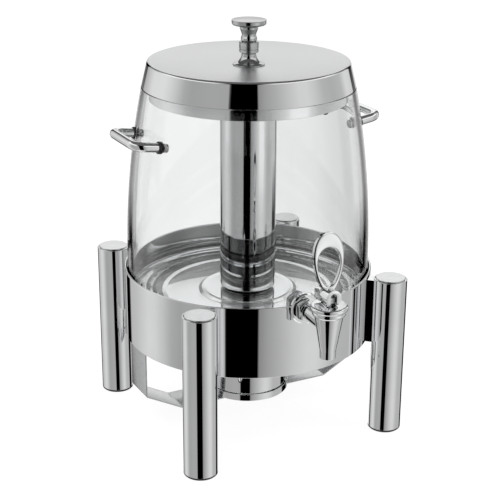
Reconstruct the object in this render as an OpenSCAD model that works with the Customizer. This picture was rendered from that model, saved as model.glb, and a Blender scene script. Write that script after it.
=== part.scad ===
// Juice dispenser: a clear barrel with a lift-off lid, an ice tube, side handles and a lever tap,
// standing in a polished ring on four round legs.
// Millimetres. The origin is on the barrel's axis at the floor, +Z is up and the tap faces -Y.

/* [Barrel] */
// Outer radius of the straight lower wall
barrel_r = 140; // [128:0.5:155]
// Thickness of the wall
barrel_wall = 5.5; // [4:0.1:7]
// Height from the foot to the rim
barrel_h = 249.5; // [230:0.5:280]
// Height of the straight lower wall above the foot
barrel_straight = 50; // [50:1:70]
// Radius of the curve that draws the upper wall in
barrel_curve_r = 990; // [800:10:2000]
// Outer radius of the bottom corner
barrel_corner_r = 22; // [15:1:26]
// Inner radius of the bottom corner
barrel_inner_corner_r = 10; // [6:1:11]
// Thickness of the floor
barrel_floor_t = 4; // [3:0.5:5]
// Width of the foot ring
barrel_foot_w = 6; // [4:0.5:10]

/* [Ring stand] */
// Diameter of the leg tube
leg_d = 38; // [30:0.5:45]
// Wall of the leg tube
leg_wall = 1.5; // [1.2:0.1:2.5]
// Height of the legs
leg_h = 188.8; // [170:0.2:230]
// Height of the visible plastic foot
foot_h = 3; // [2:0.5:5]
// Bevel round the foot
foot_bevel = 1.5; // [0.5:0.1:1.8]
// Length of the foot and of the cap inside the tube
plug_l = 14; // [8:1:25]
// Depth of the groove round the leg's cap
cap_groove_h = 2; // [1:0.5:4]
// Width of the groove round the leg's cap
cap_groove_w = 1; // [0.5:0.1:2]
// Drop of the cap below the tube's lip
cap_drop = 0.4; // [0.2:0.1:1]
// Room between the barrel and the ring
band_gap = 2.8; // [2.8:0.1:6]
// Thickness of the ring's sheet
band_t = 1.2; // [1:0.1:1.5]
// Height of the ring
band_h = 82; // [75:1:100]
// Drop of the ring's edge below the leg tops
band_drop = 0.3; // [0:0.1:5]
// Height of the folded hem along the ring's top edge
hem_h = 4.5; // [3:0.5:8]
// Depth of the pan below the ring's edge
pan_depth = 38.5; // [36:0.5:42]
// Thickness of the pan's sheet
pan_t = 1; // [0.8:0.1:1.5]
// Height of the pan's turned-down rim
pan_rim_h = 9; // [6:1:12]
// Distance from the barrel's foot in to the pan's step
pan_step_in = 10; // [6:1:20]
// Height of that step
pan_step_h = 3; // [2:0.5:4]
// Radius of the pan's raised centre
pan_centre_r = 55; // [40:1:70]
// Height of the raised centre above the step
pan_centre_h = 2; // [1:0.5:4]
// Room between the pan's raised centre and the barrel's floor
pan_room = 2; // [1:0.5:4]

/* [Leg fixings] */
// Thickness of the strip between the ring and a leg
spacer_t = 7; // [5:0.5:12]
// Width of the strip
spacer_w = 16; // [12:1:22]
// Distance of the strip's ends from the ring's edges
spacer_inset = 3; // [1:0.5:8]
// Thread diameter of the leg screws
bolt_d = 6; // [5:0.5:8]
// Head diameter of the leg screws
bolt_head_d = 13; // [11:0.5:15]
// Head height of the leg screws
bolt_head_h = 1.5; // [1:0.1:1.5]
// Distance of the upper screws from the ring's top edge
bolt_top_in = 21.5; // [14:0.5:25]
// Distance of the lower screws from the ring's bottom edge
bolt_low_in = 19; // [12:0.5:25]
// Outer diameter of the threaded insert
insert_d = 9; // [9:0.5:12]
// Diameter of the insert's bulge behind the tube wall
insert_bulge_d = 12; // [11:0.5:15]
// Length of the insert inside the leg
insert_l = 12; // [9:0.5:15]

/* [Strap and cup] */
// Width of the strap
strap_w = 42; // [30:1:50]
// Thickness of the strap
strap_t = 1.6; // [1.2:0.1:3]
// Length of the strap that overlaps the ring
strap_lap = 28; // [15:1:32]
// Height of the strap's underside above the floor
strap_z = 28; // [15:1:35]
// Height at which the strap starts to slope in
strap_bend_z = 52; // [45:1:60]
// Half length of the strap's flat bottom
strap_flat = 96; // [75:1:110]
// Outer radius of the cup
cup_r = 47; // [35:0.5:50]
// Height of the cup
cup_h = 61; // [40:1:65]
// Thickness of the cup's sheet
cup_t = 0.8; // [0.6:0.1:1.5]
// Radius of the cup's bottom edge
cup_corner_r = 5; // [3:0.5:8]
// Height of the saucer's rim
saucer_h = 9; // [6:0.5:14]
// Thickness of the saucer's sheet
saucer_t = 1; // [0.8:0.1:1.5]
// Room between the cup and the saucer's rim
saucer_gap = 1; // [0.5:0.1:3]

/* [Handles] */
// Diameter of the handle rod
handle_d = 10.5; // [7:0.5:12]
// Distance between the two legs of a handle
handle_spacing = 68; // [55:1:90]
// Height of the handles on the wall, above the barrel's foot
handle_up = 200; // [150:1:220]
// Reach from the collar to the middle of the bar
handle_reach = 25.5; // [22:0.5:45]
// Bend radius at the handle's corners
handle_bend_r = 12; // [8:0.5:14]
// Diameter of the collar at the wall
collar_d = 13.5; // [12:0.5:16]
// Length of the collar
collar_l = 3; // [2.5:0.5:10]
// Thread diameter of the handle screws
screw_d = 5; // [4:0.5:6]
// Depth of thread in the rod
screw_depth = 12; // [8:1:13]
// Head diameter of the handle screws
screw_head_d = 10; // [9:0.5:12]
// Head height of the handle screws
screw_head_h = 2.5; // [2:0.5:6]
// Thickness of the soft washer inside the wall, at its thinnest
washer_t = 1; // [0.8:0.1:3]

/* [Tap] */
// Turn of the tap away from the middle between the front legs
tap_turn = -2.8; // [-15:0.1:15]
// Height of the tap's shank above the barrel's foot
tap_up = 35.3; // [32:0.1:36]
// Distance from the ring to the spout's axis
tap_reach = 56; // [52:0.5:70]
// Thread diameter of the shank
shank_d = 16; // [14:0.5:18]
// Bore of the shank
shank_bore_d = 11; // [8:0.5:12]
// Diameter of the sleeve between nut and spout
sleeve_d = 18; // [16.5:0.5:20]
// Diameter of the flanged washer outside the ring
flange_d = 35; // [30:0.5:45]
// Thickness of the flanged washer
flange_t = 5; // [3:0.5:7]
// Width across the flats of the tap's nuts
tap_nut_af = 24; // [22:0.5:26]
// Height of the outer nut
tap_nut_h = 9; // [6:0.5:12]
// Height of the nut inside the barrel
back_nut_h = 8; // [5:0.5:12]
// Diameter of the gaskets
gasket_d = 19; // [18.5:0.1:20]
// Thickness of the inner gasket
gasket_t = 2.5; // [2:0.5:4]
// Radius of the spout's body at the top
body_top_r = 15.5; // [14.5:0.1:17]
// Radius of the spout's body at the foot of its taper
body_low_r = 8.8; // [8.6:0.1:11]
// Radius of the outlet
outlet_r = 8.5; // [8:0.1:9]
// Bore of the outlet
outlet_bore_d = 12; // [10:0.5:12]
// Height of the body above the shank's axis
body_rise = 12.7; // [12:0.1:20]
// Drop from the shank's axis to the foot of the taper
body_drop = 26.7; // [24:0.1:32]
// Length of the straight outlet
outlet_l = 9; // [5:0.5:15]
// Height of the valve seat above the foot of the taper
seat_up = 6.4; // [4:0.1:8]
// Wall of the spout's body
body_wall = 2.8; // [2:0.1:3]
// Height of the threaded neck inside the bonnet
neck_h = 4.5; // [3:0.5:6]
// Wall of that neck
neck_wall = 2.2; // [1.8:0.1:2.5]
// Radius of the bonnet's lower ring
bonnet_low_r = 17.8; // [17:0.1:19]
// Radius of the bonnet's upper ring
bonnet_top_r = 20.2; // [19:0.1:24]
// Height of one of the bonnet's rings
bonnet_ring_h = 6; // [5:0.1:7]

/* [Lever and valve] */
// Diameter of the stem
stem_d = 6; // [5:0.5:7]
// Width of the stem's flat tongue
tongue_w = 7; // [6:0.5:9]
// Diameter of the seat cup
seat_cup_d = 13.4; // [12.6:0.1:13.6]
// Height of the seat cup
seat_cup_h = 13; // [10:0.5:16]
// Diameter of the lever's pin
pin_d = 4; // [3:0.5:5]
// Height of the pin above the bonnet when the tap is shut
pin_up = 6.6; // [6:0.1:8]
// Lift of the valve for each radian that the lever turns
cam_lift = 3.5; // [2:0.1:4]
// Angle through which the lever can be pulled
lever_pull = 45; // [30:1:50]
// Width of the lever's bar and diameter of its round boss
lever_w = 18; // [15:0.5:22]
// Width of the cam under the boss
cam_w = 12; // [11:0.5:15]
// Length of the bar behind the pin
lever_back = 16; // [11:0.5:18]
// Height of the boss above the pin
lever_arch = 11.8; // [11:0.1:16]
// Height of the bar's back above the pin
lever_rear = 7.5; // [6:0.1:10]
// Thickness of the bar at its back
lever_bar_h = 10.5; // [6:0.1:11]
// Length of the cam behind the tongue
cam_heel = 2.6; // [2:0.1:4]
// Height of the slot above the pin
slot_up = 8.3; // [7.5:0.1:9]
// Width of the loop
loop_w = 34; // [26:0.5:45]
// Height of the loop's top above the pin
loop_top = 71; // [60:0.5:90]
// Width of the loop's hole
loop_hole_w = 26; // [18:0.5:28]
// Height of the top of the hole above the pin
loop_hole_top = 55; // [45:0.5:58]
// Thickness of the loop
loop_t = 9; // [6:0.5:11]
// Bevel round the loop's edges
loop_bevel = 1.5; // [0.5:0.1:1.6]
// Backward lean of the loop
loop_lean = 5; // [0:0.5:10]

/* [Ice tube] */
// Outer radius of the ice tube
tube_r = 32.3; // [25:0.1:40]
// Wall of the ice tube
tube_wall = 1.2; // [0.8:0.1:2]
// Height of the ice tube
tube_h = 234; // [215:1:240]
// Height of the welded bottom cup
tube_base_h = 16; // [10:1:30]
// Radius of the cup's bottom edge
tube_corner_r = 4; // [2:0.5:7]

/* [Lid] */
// Thickness of the lid's sheet
lid_t = 1; // [0.8:0.1:1.5]
// Height of the lid's rim above the barrel
lid_h = 27.4; // [22:0.1:35]
// Inward lean of the lid's side
lid_lean = 6; // [3:0.1:12]
// Radius of the lid's shoulder
lid_shoulder_r = 3.2; // [2:0.1:5]
// Depth of the dished top
lid_dish = 5.2; // [2:0.1:8]
// Radius of the flat middle of the top
lid_flat_r = 40; // [38:1:60]
// Room between the skirt and the barrel's mouth
skirt_gap = 3.2; // [2:0.1:5]
// Depth of the skirt below the barrel's rim
skirt_drop = 14; // [8:0.5:25]
// Depth to which the guide ring reaches over the ice tube's top
guide_lap = 7.3; // [4:0.1:20]
// Room between the ice tube and the guide ring
guide_gap = 0.7; // [0.4:0.1:2]

/* [Knob] */
// Radius of the knob's base
knob_base_r = 18; // [15:0.5:25]
// Radius of the neck above the base
knob_neck_r = 8.1; // [7.5:0.1:10]
// Height of the base and neck
knob_base_h = 12.3; // [10:0.1:16]
// Radius of the collar
knob_collar_r = 10.8; // [9.5:0.1:14]
// Height of the collar
knob_collar_h = 13.6; // [10:0.1:18]
// Radius of the knob's cap
knob_cap_r = 19.4; // [15:0.1:25]
// Thickness of the knob's cap
knob_cap_h = 6.3; // [4:0.1:10]
// Height of the whole upper knob
knob_top_h = 24.4; // [22:0.1:32]
// Diameter of the stud through the knob
stud_d = 8; // [6:0.5:9]
// Width across the flats of the knob's nut
knob_nut_af = 13; // [12:0.5:17]
// Height of the knob's nut
knob_nut_h = 5; // [4:0.5:8]

/* [Clearances] */
// Gap between two curved faces that are pressed or screwed together
snug = 0.05; // [0.02:0.01:0.1]
// Gap round a pin that turns in its bore
running = 0.05; // [0.03:0.01:0.1]
// Gap between two faces that slide past each other
slide_gap = 0.3; // [0.2:0.05:0.5]

/* [Hidden] */
// Facets of the large round walls that small pieces are shaped to
$fn = 96;
wall_facets = 480;
// Overlap of joined shapes, and run-out of a cut past a face
eps = 0.01;
sink = 1;

// Finishes
mirror_steel = "Gainsboro";
satin_steel = "Silver";
clear_plastic = [0.86, 0.9, 0.92, 0.35];
soft_grey = "LightGray";
black_plastic = "DimGray";

// Heights of the stand and of what stands in it
band_top = leg_h - band_drop;
band_z = band_top - band_h;
pan_top = band_top - pan_depth;
pan_centre_z = pan_top + pan_step_h + pan_centre_h;
barrel_z = pan_top;
floor_under = pan_centre_z + pan_room;
floor_top = floor_under + barrel_floor_t;
curve_z = barrel_z + barrel_straight;
rim_z = barrel_z + barrel_h;

// Radii from the barrel's foot outwards
foot_in_r = barrel_r - barrel_corner_r - barrel_foot_w;
pan_step_r = foot_in_r - pan_step_in;
wall_in_r = barrel_r - barrel_wall;
floor_r = wall_in_r - barrel_inner_corner_r;
band_in_r = barrel_r + band_gap;
band_r = band_in_r + band_t;
leg_r = leg_d / 2;
leg_in_r = leg_r - leg_wall;
leg_circle_r = band_r + spacer_t + leg_r;
leg_turns = [-45, 45, -135, 135];
bolt_heights = [band_z + bolt_low_in, band_top - bolt_top_in];

// A run of points along an arc, and a list in reverse
function arc(centre, r, from, to, steps = 6) =
    [for (i = [0 : steps]) centre + r * [cos(from + (to - from) * i / steps), sin(from + (to - from) * i / steps)]];
function flip(points) = [for (i = [len(points) - 1 : -1 : 0]) points[i]];

// The barrel's wall: the curve of radius r about one common centre, and the outer radius at a height
function wall_curve(r) =
    arc([barrel_r - barrel_curve_r, curve_z], r, 0, asin((rim_z - curve_z) / r), 10);
function wall_r(z, curve) =
    barrel_r - barrel_curve_r + sqrt(pow(curve, 2) - pow(max(0, z - curve_z), 2));
rim_r = wall_r(rim_z, barrel_curve_r);
mouth_r = wall_r(rim_z, barrel_curve_r - barrel_wall);

// Where the pieces of the tap lie, as distances out from the barrel's axis and heights
tap_z = barrel_z + tap_up;
flange_y = band_r + slide_gap;
nut_y = flange_y + flange_t;
sleeve_y = nut_y + tap_nut_h;
spout_y = band_r + tap_reach;
gasket_in_y = wall_in_r - gasket_t;
back_nut_y = gasket_in_y - back_nut_h;
thread_past_nut = 4;
shank_end_y = back_nut_y - thread_past_nut;
taper_z = tap_z - body_drop;
outlet_z = taper_z - outlet_l;
body_top_z = tap_z + body_rise;
seat_z = taper_z + seat_up;
bonnet_top_z = body_top_z + 2 * bonnet_ring_h;
pin_z = bonnet_top_z + pin_up;
neck_r = body_top_r - 0.9;
chamber_r = neck_r - neck_wall;
seat_r = body_low_r + (body_top_r - body_low_r) * seat_up / (body_rise + body_drop) - body_wall;
shank_notch_r = gasket_d / 2 + slide_gap;

// Where a handle leaves the wall: square to the wall's slope
handle_z = barrel_z + handle_up;
handle_tilt = asin(max(0, handle_z - curve_z) / barrel_curve_r);
handle_x = sqrt(pow(wall_r(handle_z, barrel_curve_r), 2) - pow(handle_spacing / 2, 2));
handle_skew = asin(handle_spacing / 2 / wall_r(handle_z, barrel_curve_r));
washer_in = barrel_wall / cos(handle_skew) + screw_head_d / 2 * tan(handle_skew) + washer_t;

// The lid, from the barrel's rim upwards
lid_rim_z = rim_z + lid_h;
lid_mid_z = lid_rim_z - lid_dish;
lid_under_z = lid_mid_z - lid_t;
skirt_r = mouth_r - skirt_gap;
shoulder_c = [rim_r - lid_lean - lid_shoulder_r, lid_rim_z - lid_shoulder_r];
knob_collar_z = lid_mid_z + knob_base_h;
knob_top_z = knob_collar_z + knob_collar_h;

// Places children at the leg that stands at the given turn from the front
module at_leg(turn) {
    rotate([0, 0, turn])
        translate([0, -leg_circle_r, 0])
            children();
}

// A cylinder that lies along -Y, between two distances from the Z axis
module spoke(r, from, to, z, sides = $fn) {
    translate([0, -from, z])
        rotate([90, 0, 0])
            cylinder(r = r, h = to - from, $fn = sides);
}

// A hexagon that lies along -Y, measured across its flats
module hex_spoke(across, from, to, z) {
    spoke(across / 2 / cos(30), from, to, z, 6);
}

// Turns children from straight ahead to where the tap is
module at_tap() {
    rotate([0, 0, tap_turn])
        children();
}

// Puts children on the spout's upright axis
module at_spout() {
    at_tap()
        translate([0, -spout_y, 0])
            children();
}

// Puts children at the lever's pin, with X along the pin
module at_pin() {
    at_spout()
        translate([0, 0, pin_z])
            children();
}

// A handle's frame: X runs out along its legs from the wall, side is 1 for right and -1 for left
module at_handle(side) {
    mirror([side < 0 ? 1 : 0, 0, 0])
        translate([handle_x, 0, handle_z])
            rotate([0, -handle_tilt, 0])
                children();
}

// A cylinder along each leg of both handles, between two distances from the wall
module handle_spokes(r, from, to) {
    for (side = [-1, 1], end = [-1, 1])
        at_handle(side)
            translate([from, end * handle_spacing / 2, 0])
                rotate([0, 90, 0])
                    cylinder(r = r, h = to - from);
}

// The space inside a curved wall of the barrel, from the given height to the rim
module wall_space(curve, from) {
    rotate_extrude($fn = wall_facets)
        polygon(concat([[0, from], [barrel_r - barrel_curve_r + curve, from]],
            wall_curve(curve), [[0, rim_z]]));
}

module base_band() {
    hem_in_r = band_in_r - band_t;
    color(mirror_steel)
        difference() {
            rotate_extrude()
                polygon(concat([[band_in_r, band_z], [band_r, band_z]],
                    arc([band_r - band_t, band_top - band_t], band_t, 0, 180),
                    [[hem_in_r, band_top - hem_h], [band_in_r, band_top - hem_h]]));
            for (turn = leg_turns, z = bolt_heights)
                rotate([0, 0, turn])
                    spoke(bolt_d / 2 + snug, band_in_r - sink, band_r + sink, z);
            at_tap()
                shank_notch();
        }
}

// The notch is open at the top, so that the barrel and its tap lift straight out
module shank_notch() {
    spoke(shank_notch_r, barrel_r, band_r + sink, tap_z);
    translate([-shank_notch_r, -band_r - sink, tap_z])
        cube([2 * shank_notch_r, band_r + sink - barrel_r, leg_h - tap_z]);
}

module base_pan() {
    rim_r_out = band_in_r - snug;
    step_top = pan_top + pan_step_h;
    slope = 1.5;
    top = [[rim_r_out, pan_top], [pan_step_r + slope, pan_top], [pan_step_r - slope, step_top],
        [pan_centre_r + slope, step_top], [pan_centre_r - slope, pan_centre_z], [0, pan_centre_z]];
    under = [[0, pan_centre_z - pan_t], [pan_centre_r - slope, pan_centre_z - pan_t],
        [pan_centre_r + slope, step_top - pan_t], [pan_step_r - slope, step_top - pan_t],
        [pan_step_r + slope, pan_top - pan_t], [rim_r_out - pan_t, pan_top - pan_t]];
    rim = [[rim_r_out - pan_t, pan_top - pan_rim_h], [rim_r_out, pan_top - pan_rim_h]];
    color(mirror_steel)
        rotate_extrude()
            polygon(concat(top, under, rim));
}

module leg_tube(turn) {
    color(mirror_steel)
        difference() {
            at_leg(turn)
                difference() {
                    translate([0, 0, foot_h])
                        cylinder(r = leg_r, h = leg_h - foot_h);
                    translate([0, 0, foot_h - sink])
                        cylinder(r = leg_in_r, h = leg_h);
                }
            rotate([0, 0, turn])
                for (z = bolt_heights)
                    spoke(insert_d / 2 + snug, band_r, leg_circle_r, z);
        }
}

// A satin disc with a groove round it, on a plug that grips the tube
module leg_cap(turn) {
    top = leg_h - cap_drop;
    color(satin_steel)
        at_leg(turn)
            rotate_extrude()
                polygon([[0, leg_h - plug_l], [leg_in_r - snug, leg_h - plug_l],
                    [leg_in_r - snug, top - cap_groove_h], [leg_in_r - cap_groove_w, top - cap_groove_h],
                    [leg_in_r - cap_groove_w, top], [0, top]]);
}

module leg_foot(turn) {
    color(black_plastic)
        at_leg(turn)
            rotate_extrude()
                polygon([[0, 0], [leg_r - foot_bevel, 0], [leg_r, foot_bevel], [leg_r, foot_h],
                    [leg_in_r - snug, foot_h], [leg_in_r - snug, plug_l], [0, plug_l]]);
}

// An upright strip, hollowed on one side for the ring and on the other for the leg
module leg_spacer(turn) {
    low = band_z + spacer_inset;
    color(mirror_steel)
        rotate([0, 0, turn])
            difference() {
                translate([-spacer_w / 2, -leg_circle_r, low])
                    cube([spacer_w, leg_circle_r - band_r + sink, band_h - 2 * spacer_inset]);
                cylinder(r = band_r + snug, h = leg_h);
                translate([0, -leg_circle_r, 0])
                    cylinder(r = leg_r + snug, h = leg_h);
                for (z = bolt_heights)
                    spoke(insert_d / 2 + snug, band_r, leg_circle_r, z);
            }
}

// Low round heads inside the ring, seated on its curved wall
module leg_bolts() {
    seat = sqrt(pow(band_in_r, 2) - pow(bolt_head_d / 2, 2)) - snug;
    color(satin_steel)
        for (turn = leg_turns, z = bolt_heights)
            rotate([0, 0, turn]) {
                spoke(bolt_head_d / 2, seat - bolt_head_h, seat, z);
                spoke(bolt_d / 2, seat - eps, leg_circle_r - leg_in_r + insert_l - snug, z);
            }
}

// Threaded inserts, flush with the outside of the tube and swollen behind its wall
module leg_inserts() {
    face = leg_circle_r - leg_r;
    behind = leg_circle_r - sqrt(pow(leg_in_r, 2) - pow(insert_bulge_d / 2, 2)) + snug;
    color(satin_steel)
        for (turn = leg_turns, z = bolt_heights)
            rotate([0, 0, turn])
                difference() {
                    union() {
                        spoke(insert_d / 2, face, face + leg_wall + insert_l, z);
                        spoke(insert_bulge_d / 2, behind, behind + bolt_d / 2, z);
                    }
                    spoke(bolt_d / 2 + snug, face - sink, face + leg_wall + insert_l + sink, z);
                }
}

// One bent strip: flat ends inside the ring, a slope on each side and a flat bottom
module strap_bracket() {
    end_x = sqrt(pow(band_in_r, 2) - pow(strap_w / 2, 2)) - snug;
    slope = atan2(strap_bend_z - strap_z, end_x - strap_flat);
    up_shift = strap_t * tan(slope / 2);
    side_shift = strap_t * tan((90 - slope) / 2);
    half = [[end_x, strap_bend_z], [end_x, band_z + strap_lap], [end_x - strap_t, band_z + strap_lap],
        [end_x - strap_t, strap_bend_z + side_shift], [strap_flat - up_shift, strap_z + strap_t]];
    other = flip([for (p = concat([[strap_flat, strap_z]], half)) [-p[0], p[1]]]);
    color(satin_steel)
        translate([0, strap_w / 2, 0])
            rotate([90, 0, 0])
                linear_extrude(strap_w)
                    polygon(concat([[strap_flat, strap_z]], half, other));
}

saucer_z = strap_z + strap_t;
cup_z = saucer_z + saucer_t;

module cup_saucer() {
    out_r = cup_r + saucer_gap + saucer_t;
    color(mirror_steel)
        rotate_extrude()
            polygon([[0, saucer_z], [out_r - saucer_t, saucer_z], [out_r, saucer_z + saucer_t],
                [out_r, saucer_z + saucer_h], [out_r - saucer_t, saucer_z + saucer_h],
                [out_r - saucer_t, cup_z], [0, cup_z]]);
}

module fuel_cup() {
    centre = [cup_r - cup_corner_r, cup_z + cup_corner_r];
    color(mirror_steel)
        rotate_extrude()
            polygon(concat([[0, cup_z]], arc(centre, cup_corner_r, -90, 0),
                [[cup_r, cup_z + cup_h], [cup_r - cup_t, cup_z + cup_h]],
                arc(centre, cup_corner_r - cup_t, 0, -90), [[0, cup_z + cup_t]]));
}

// The barrel's wall, with a ledge round its foot that carries the floor
module barrel() {
    outer_c = [barrel_r - barrel_corner_r, barrel_z + barrel_corner_r];
    inner_c = [floor_r, floor_top + barrel_inner_corner_r];
    foot_slope = 3;
    color(clear_plastic)
        difference() {
            rotate_extrude()
                polygon(concat(arc(outer_c, barrel_corner_r, -90, 0), wall_curve(barrel_curve_r),
                    flip(wall_curve(barrel_curve_r - barrel_wall)),
                    arc(inner_c, barrel_inner_corner_r, 0, -90),
                    [[floor_r, floor_under], [foot_in_r - foot_slope, floor_under], [foot_in_r, barrel_z]]));
            at_tap()
                spoke(shank_d / 2 + snug, shank_end_y, band_r, tap_z);
            handle_spokes(screw_d / 2 + snug, -washer_in, collar_l);
        }
}

// The barrel's floor, bonded onto the ledge
module barrel_floor() {
    color(clear_plastic)
        translate([0, 0, floor_under])
            cylinder(r = floor_r - snug, h = barrel_floor_t, $fn = wall_facets);
}

// A round rod bent into a U, with a threaded hole in each end
module handle(side) {
    bar_y = handle_spacing / 2;
    bend_x = handle_reach - handle_bend_r;
    bend_y = bar_y - handle_bend_r;
    color(mirror_steel)
        at_handle(side)
            translate([collar_l, 0, 0])
                difference() {
                    union() {
                        for (end = [-1, 1])
                            translate([0, end * bar_y, 0])
                                rotate([0, 90, 0])
                                    cylinder(d = handle_d, h = bend_x);
                        for (end = [0, 1])
                            mirror([0, end, 0])
                                translate([bend_x, bend_y, 0])
                                    rotate_extrude(angle = 90)
                                        translate([handle_bend_r, 0])
                                            circle(d = handle_d);
                        translate([handle_reach, bend_y, 0])
                            rotate([90, 0, 0])
                                cylinder(d = handle_d, h = 2 * bend_y);
                    }
                    for (end = [-1, 1])
                        translate([-sink, end * bar_y, 0])
                            rotate([0, 90, 0])
                                cylinder(d = screw_d + 2 * snug, h = screw_depth + sink);
                }
}

// Rings between the rods and the wall, shaped to the wall's outside
module handle_collars() {
    color(mirror_steel)
        difference() {
            handle_spokes(collar_d / 2, -washer_in, collar_l);
            wall_space(barrel_curve_r + snug, barrel_z);
            handle_spokes(screw_d / 2 + snug, -washer_in - sink, collar_l + sink);
        }
}

// Soft washers under the screw heads, shaped to the wall's inside
module handle_washers() {
    color(soft_grey)
        intersection() {
            difference() {
                handle_spokes(screw_head_d / 2, -washer_in, collar_l);
                handle_spokes(screw_d / 2 + snug, -washer_in - sink, collar_l + sink);
            }
            wall_space(barrel_curve_r - barrel_wall - snug, floor_top);
        }
}

module handle_screws() {
    color(satin_steel) {
        handle_spokes(screw_head_d / 2, -washer_in - screw_head_h, -washer_in);
        handle_spokes(screw_d / 2, -washer_in - eps, collar_l + screw_depth - sink);
    }
}

// A tapered spout on a hollow threaded shank
module tap_body() {
    color(mirror_steel)
        difference() {
            union() {
                at_spout()
                    rotate_extrude()
                        polygon([[0, outlet_z], [outlet_r, outlet_z], [body_low_r, taper_z],
                            [body_top_r, body_top_z], [neck_r, body_top_z], [neck_r, body_top_z + neck_h],
                            [0, body_top_z + neck_h]]);
                at_tap() {
                    spoke(sleeve_d / 2, sleeve_y, spout_y, tap_z);
                    spoke(shank_d / 2, shank_end_y, spout_y, tap_z);
                }
            }
            at_spout()
                rotate_extrude()
                    polygon([[0, outlet_z - sink], [outlet_bore_d / 2, outlet_z - sink],
                        [outlet_bore_d / 2, seat_z], [seat_r, seat_z], [chamber_r, body_top_z],
                        [chamber_r, body_top_z + neck_h + sink], [0, body_top_z + neck_h + sink]]);
            at_tap()
                spoke(shank_bore_d / 2, shank_end_y - sink, spout_y, tap_z);
        }
}

// Two rounded rings, the upper one wider and flat on top, screwed onto the neck
module tap_bonnet() {
    half = bonnet_ring_h / 2;
    low_r = max(bonnet_low_r - half, neck_r + snug);
    color(mirror_steel)
        at_spout()
            rotate_extrude()
                polygon(concat([[neck_r + snug, body_top_z]],
                    arc([low_r, body_top_z + half], half, -90, 90),
                    arc([bonnet_top_r - half, bonnet_top_z - half], half, -90, 90),
                    [[stem_d / 2 + slide_gap, bonnet_top_z],
                        [stem_d / 2 + slide_gap, body_top_z + neck_h + snug],
                        [neck_r + snug, body_top_z + neck_h + snug]]));
}

module tap_washer() {
    edge = 1;
    color(mirror_steel)
        at_tap()
            difference() {
                union() {
                    spoke(flange_d / 2, flange_y, nut_y - edge, tap_z);
                    spoke(flange_d / 2 - edge, nut_y - edge - eps, nut_y, tap_z);
                }
                spoke(shank_d / 2 + snug, flange_y - sink, nut_y + sink, tap_z);
            }
}

module tap_hex_nut() {
    color(mirror_steel)
        at_tap()
            difference() {
                hex_spoke(tap_nut_af, nut_y, sleeve_y, tap_z);
                spoke(shank_d / 2 + snug, nut_y - sink, sleeve_y + sink, tap_z);
            }
}

// A thick sealing ring in the ring stand's notch, between the wall and the flanged washer
module tap_gasket_outer() {
    color(soft_grey)
        at_tap()
            difference() {
                spoke(gasket_d / 2, wall_in_r, flange_y, tap_z);
                cylinder(r = barrel_r + snug, h = rim_z, $fn = wall_facets);
                spoke(shank_d / 2 + snug, wall_in_r - sink, flange_y + sink, tap_z);
            }
}

module tap_gasket_inner() {
    color(soft_grey)
        at_tap()
            difference() {
                intersection() {
                    spoke(gasket_d / 2, gasket_in_y, barrel_r, tap_z);
                    cylinder(r = wall_in_r - snug, h = rim_z, $fn = wall_facets);
                }
                spoke(shank_d / 2 + snug, gasket_in_y - sink, barrel_r, tap_z);
            }
}

module tap_back_nut() {
    color(satin_steel)
        at_tap()
            difference() {
                hex_spoke(tap_nut_af, back_nut_y, gasket_in_y, tap_z);
                spoke(shank_d / 2 + snug, back_nut_y - sink, gasket_in_y + sink, tap_z);
            }
}

// The stem hangs from the lever's pin and carries the seat cup on a small flange
stem_flange_r = stem_d / 2 + 1.6;
stem_flange_h = 2;
stem_foot_z = seat_z + slide_gap + stem_flange_h * 2;
tongue_r = pin_d / 2 + 2.5;

module valve_stem() {
    color(satin_steel) {
        at_spout() {
            translate([0, 0, stem_foot_z])
                cylinder(d = stem_d, h = pin_z - tongue_r / 2 - stem_foot_z);
            translate([0, 0, stem_foot_z])
                cylinder(r = stem_flange_r, h = stem_flange_h);
        }
        at_pin()
            stem_tongue();
    }
}

// The flat tongue that fits the lever's slot, bored for the pin
module stem_tongue() {
    neck = pin_up - slide_gap - tongue_r / 2;
    rotate([0, 90, 0])
        difference() {
            translate([0, 0, -tongue_w / 2])
                linear_extrude(tongue_w)
                    union() {
                        circle(r = tongue_r);
                        translate([0, -tongue_r])
                            square([neck, 2 * tongue_r]);
                    }
            translate([0, 0, -tongue_w])
                cylinder(r = pin_d / 2 + running, h = 2 * tongue_w);
        }
}

// A soft plug that closes the outlet
module seat_cup() {
    low = seat_z + slide_gap;
    top = low + seat_cup_h;
    cup_r_out = seat_cup_d / 2;
    hole_r = stem_d / 2 + snug;
    color(soft_grey)
        at_spout()
            rotate_extrude()
                polygon([[0, low], [cup_r_out, low], [cup_r_out, top - cup_r_out / 2], [stem_flange_r, top],
                    [hole_r, top], [hole_r, stem_foot_z + stem_flange_h + snug],
                    [stem_flange_r + snug, stem_foot_z + stem_flange_h + snug],
                    [stem_flange_r + snug, stem_foot_z - snug], [0, stem_foot_z - snug]]);
}

// The cam under the lever is an involute: it rolls on the bonnet with its lowest point
// always cam_lift in front of the pin, so the pin rises by the same amount for each degree of pull
cam_room = 0.2;
cam_end = lever_pull + 5;
function cam_height(a) = pin_up - cam_room + cam_lift * a * PI / 180;
function cam_point(a) =
    [-cam_height(a) * sin(a) - cam_lift * cos(a), -cam_height(a) * cos(a) + cam_lift * sin(a)];
cam_front = cam_point(cam_end)[0];

// An egg outline, narrower towards its foot
function egg(w, foot, top, narrow = 0.22) =
    [for (t = [0 : 7.5 : 352.5])
        [w / 2 * sin(t) * (1 + narrow * cos(t)), (foot + top) / 2 + (top - foot) / 2 * cos(t)]];

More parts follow.
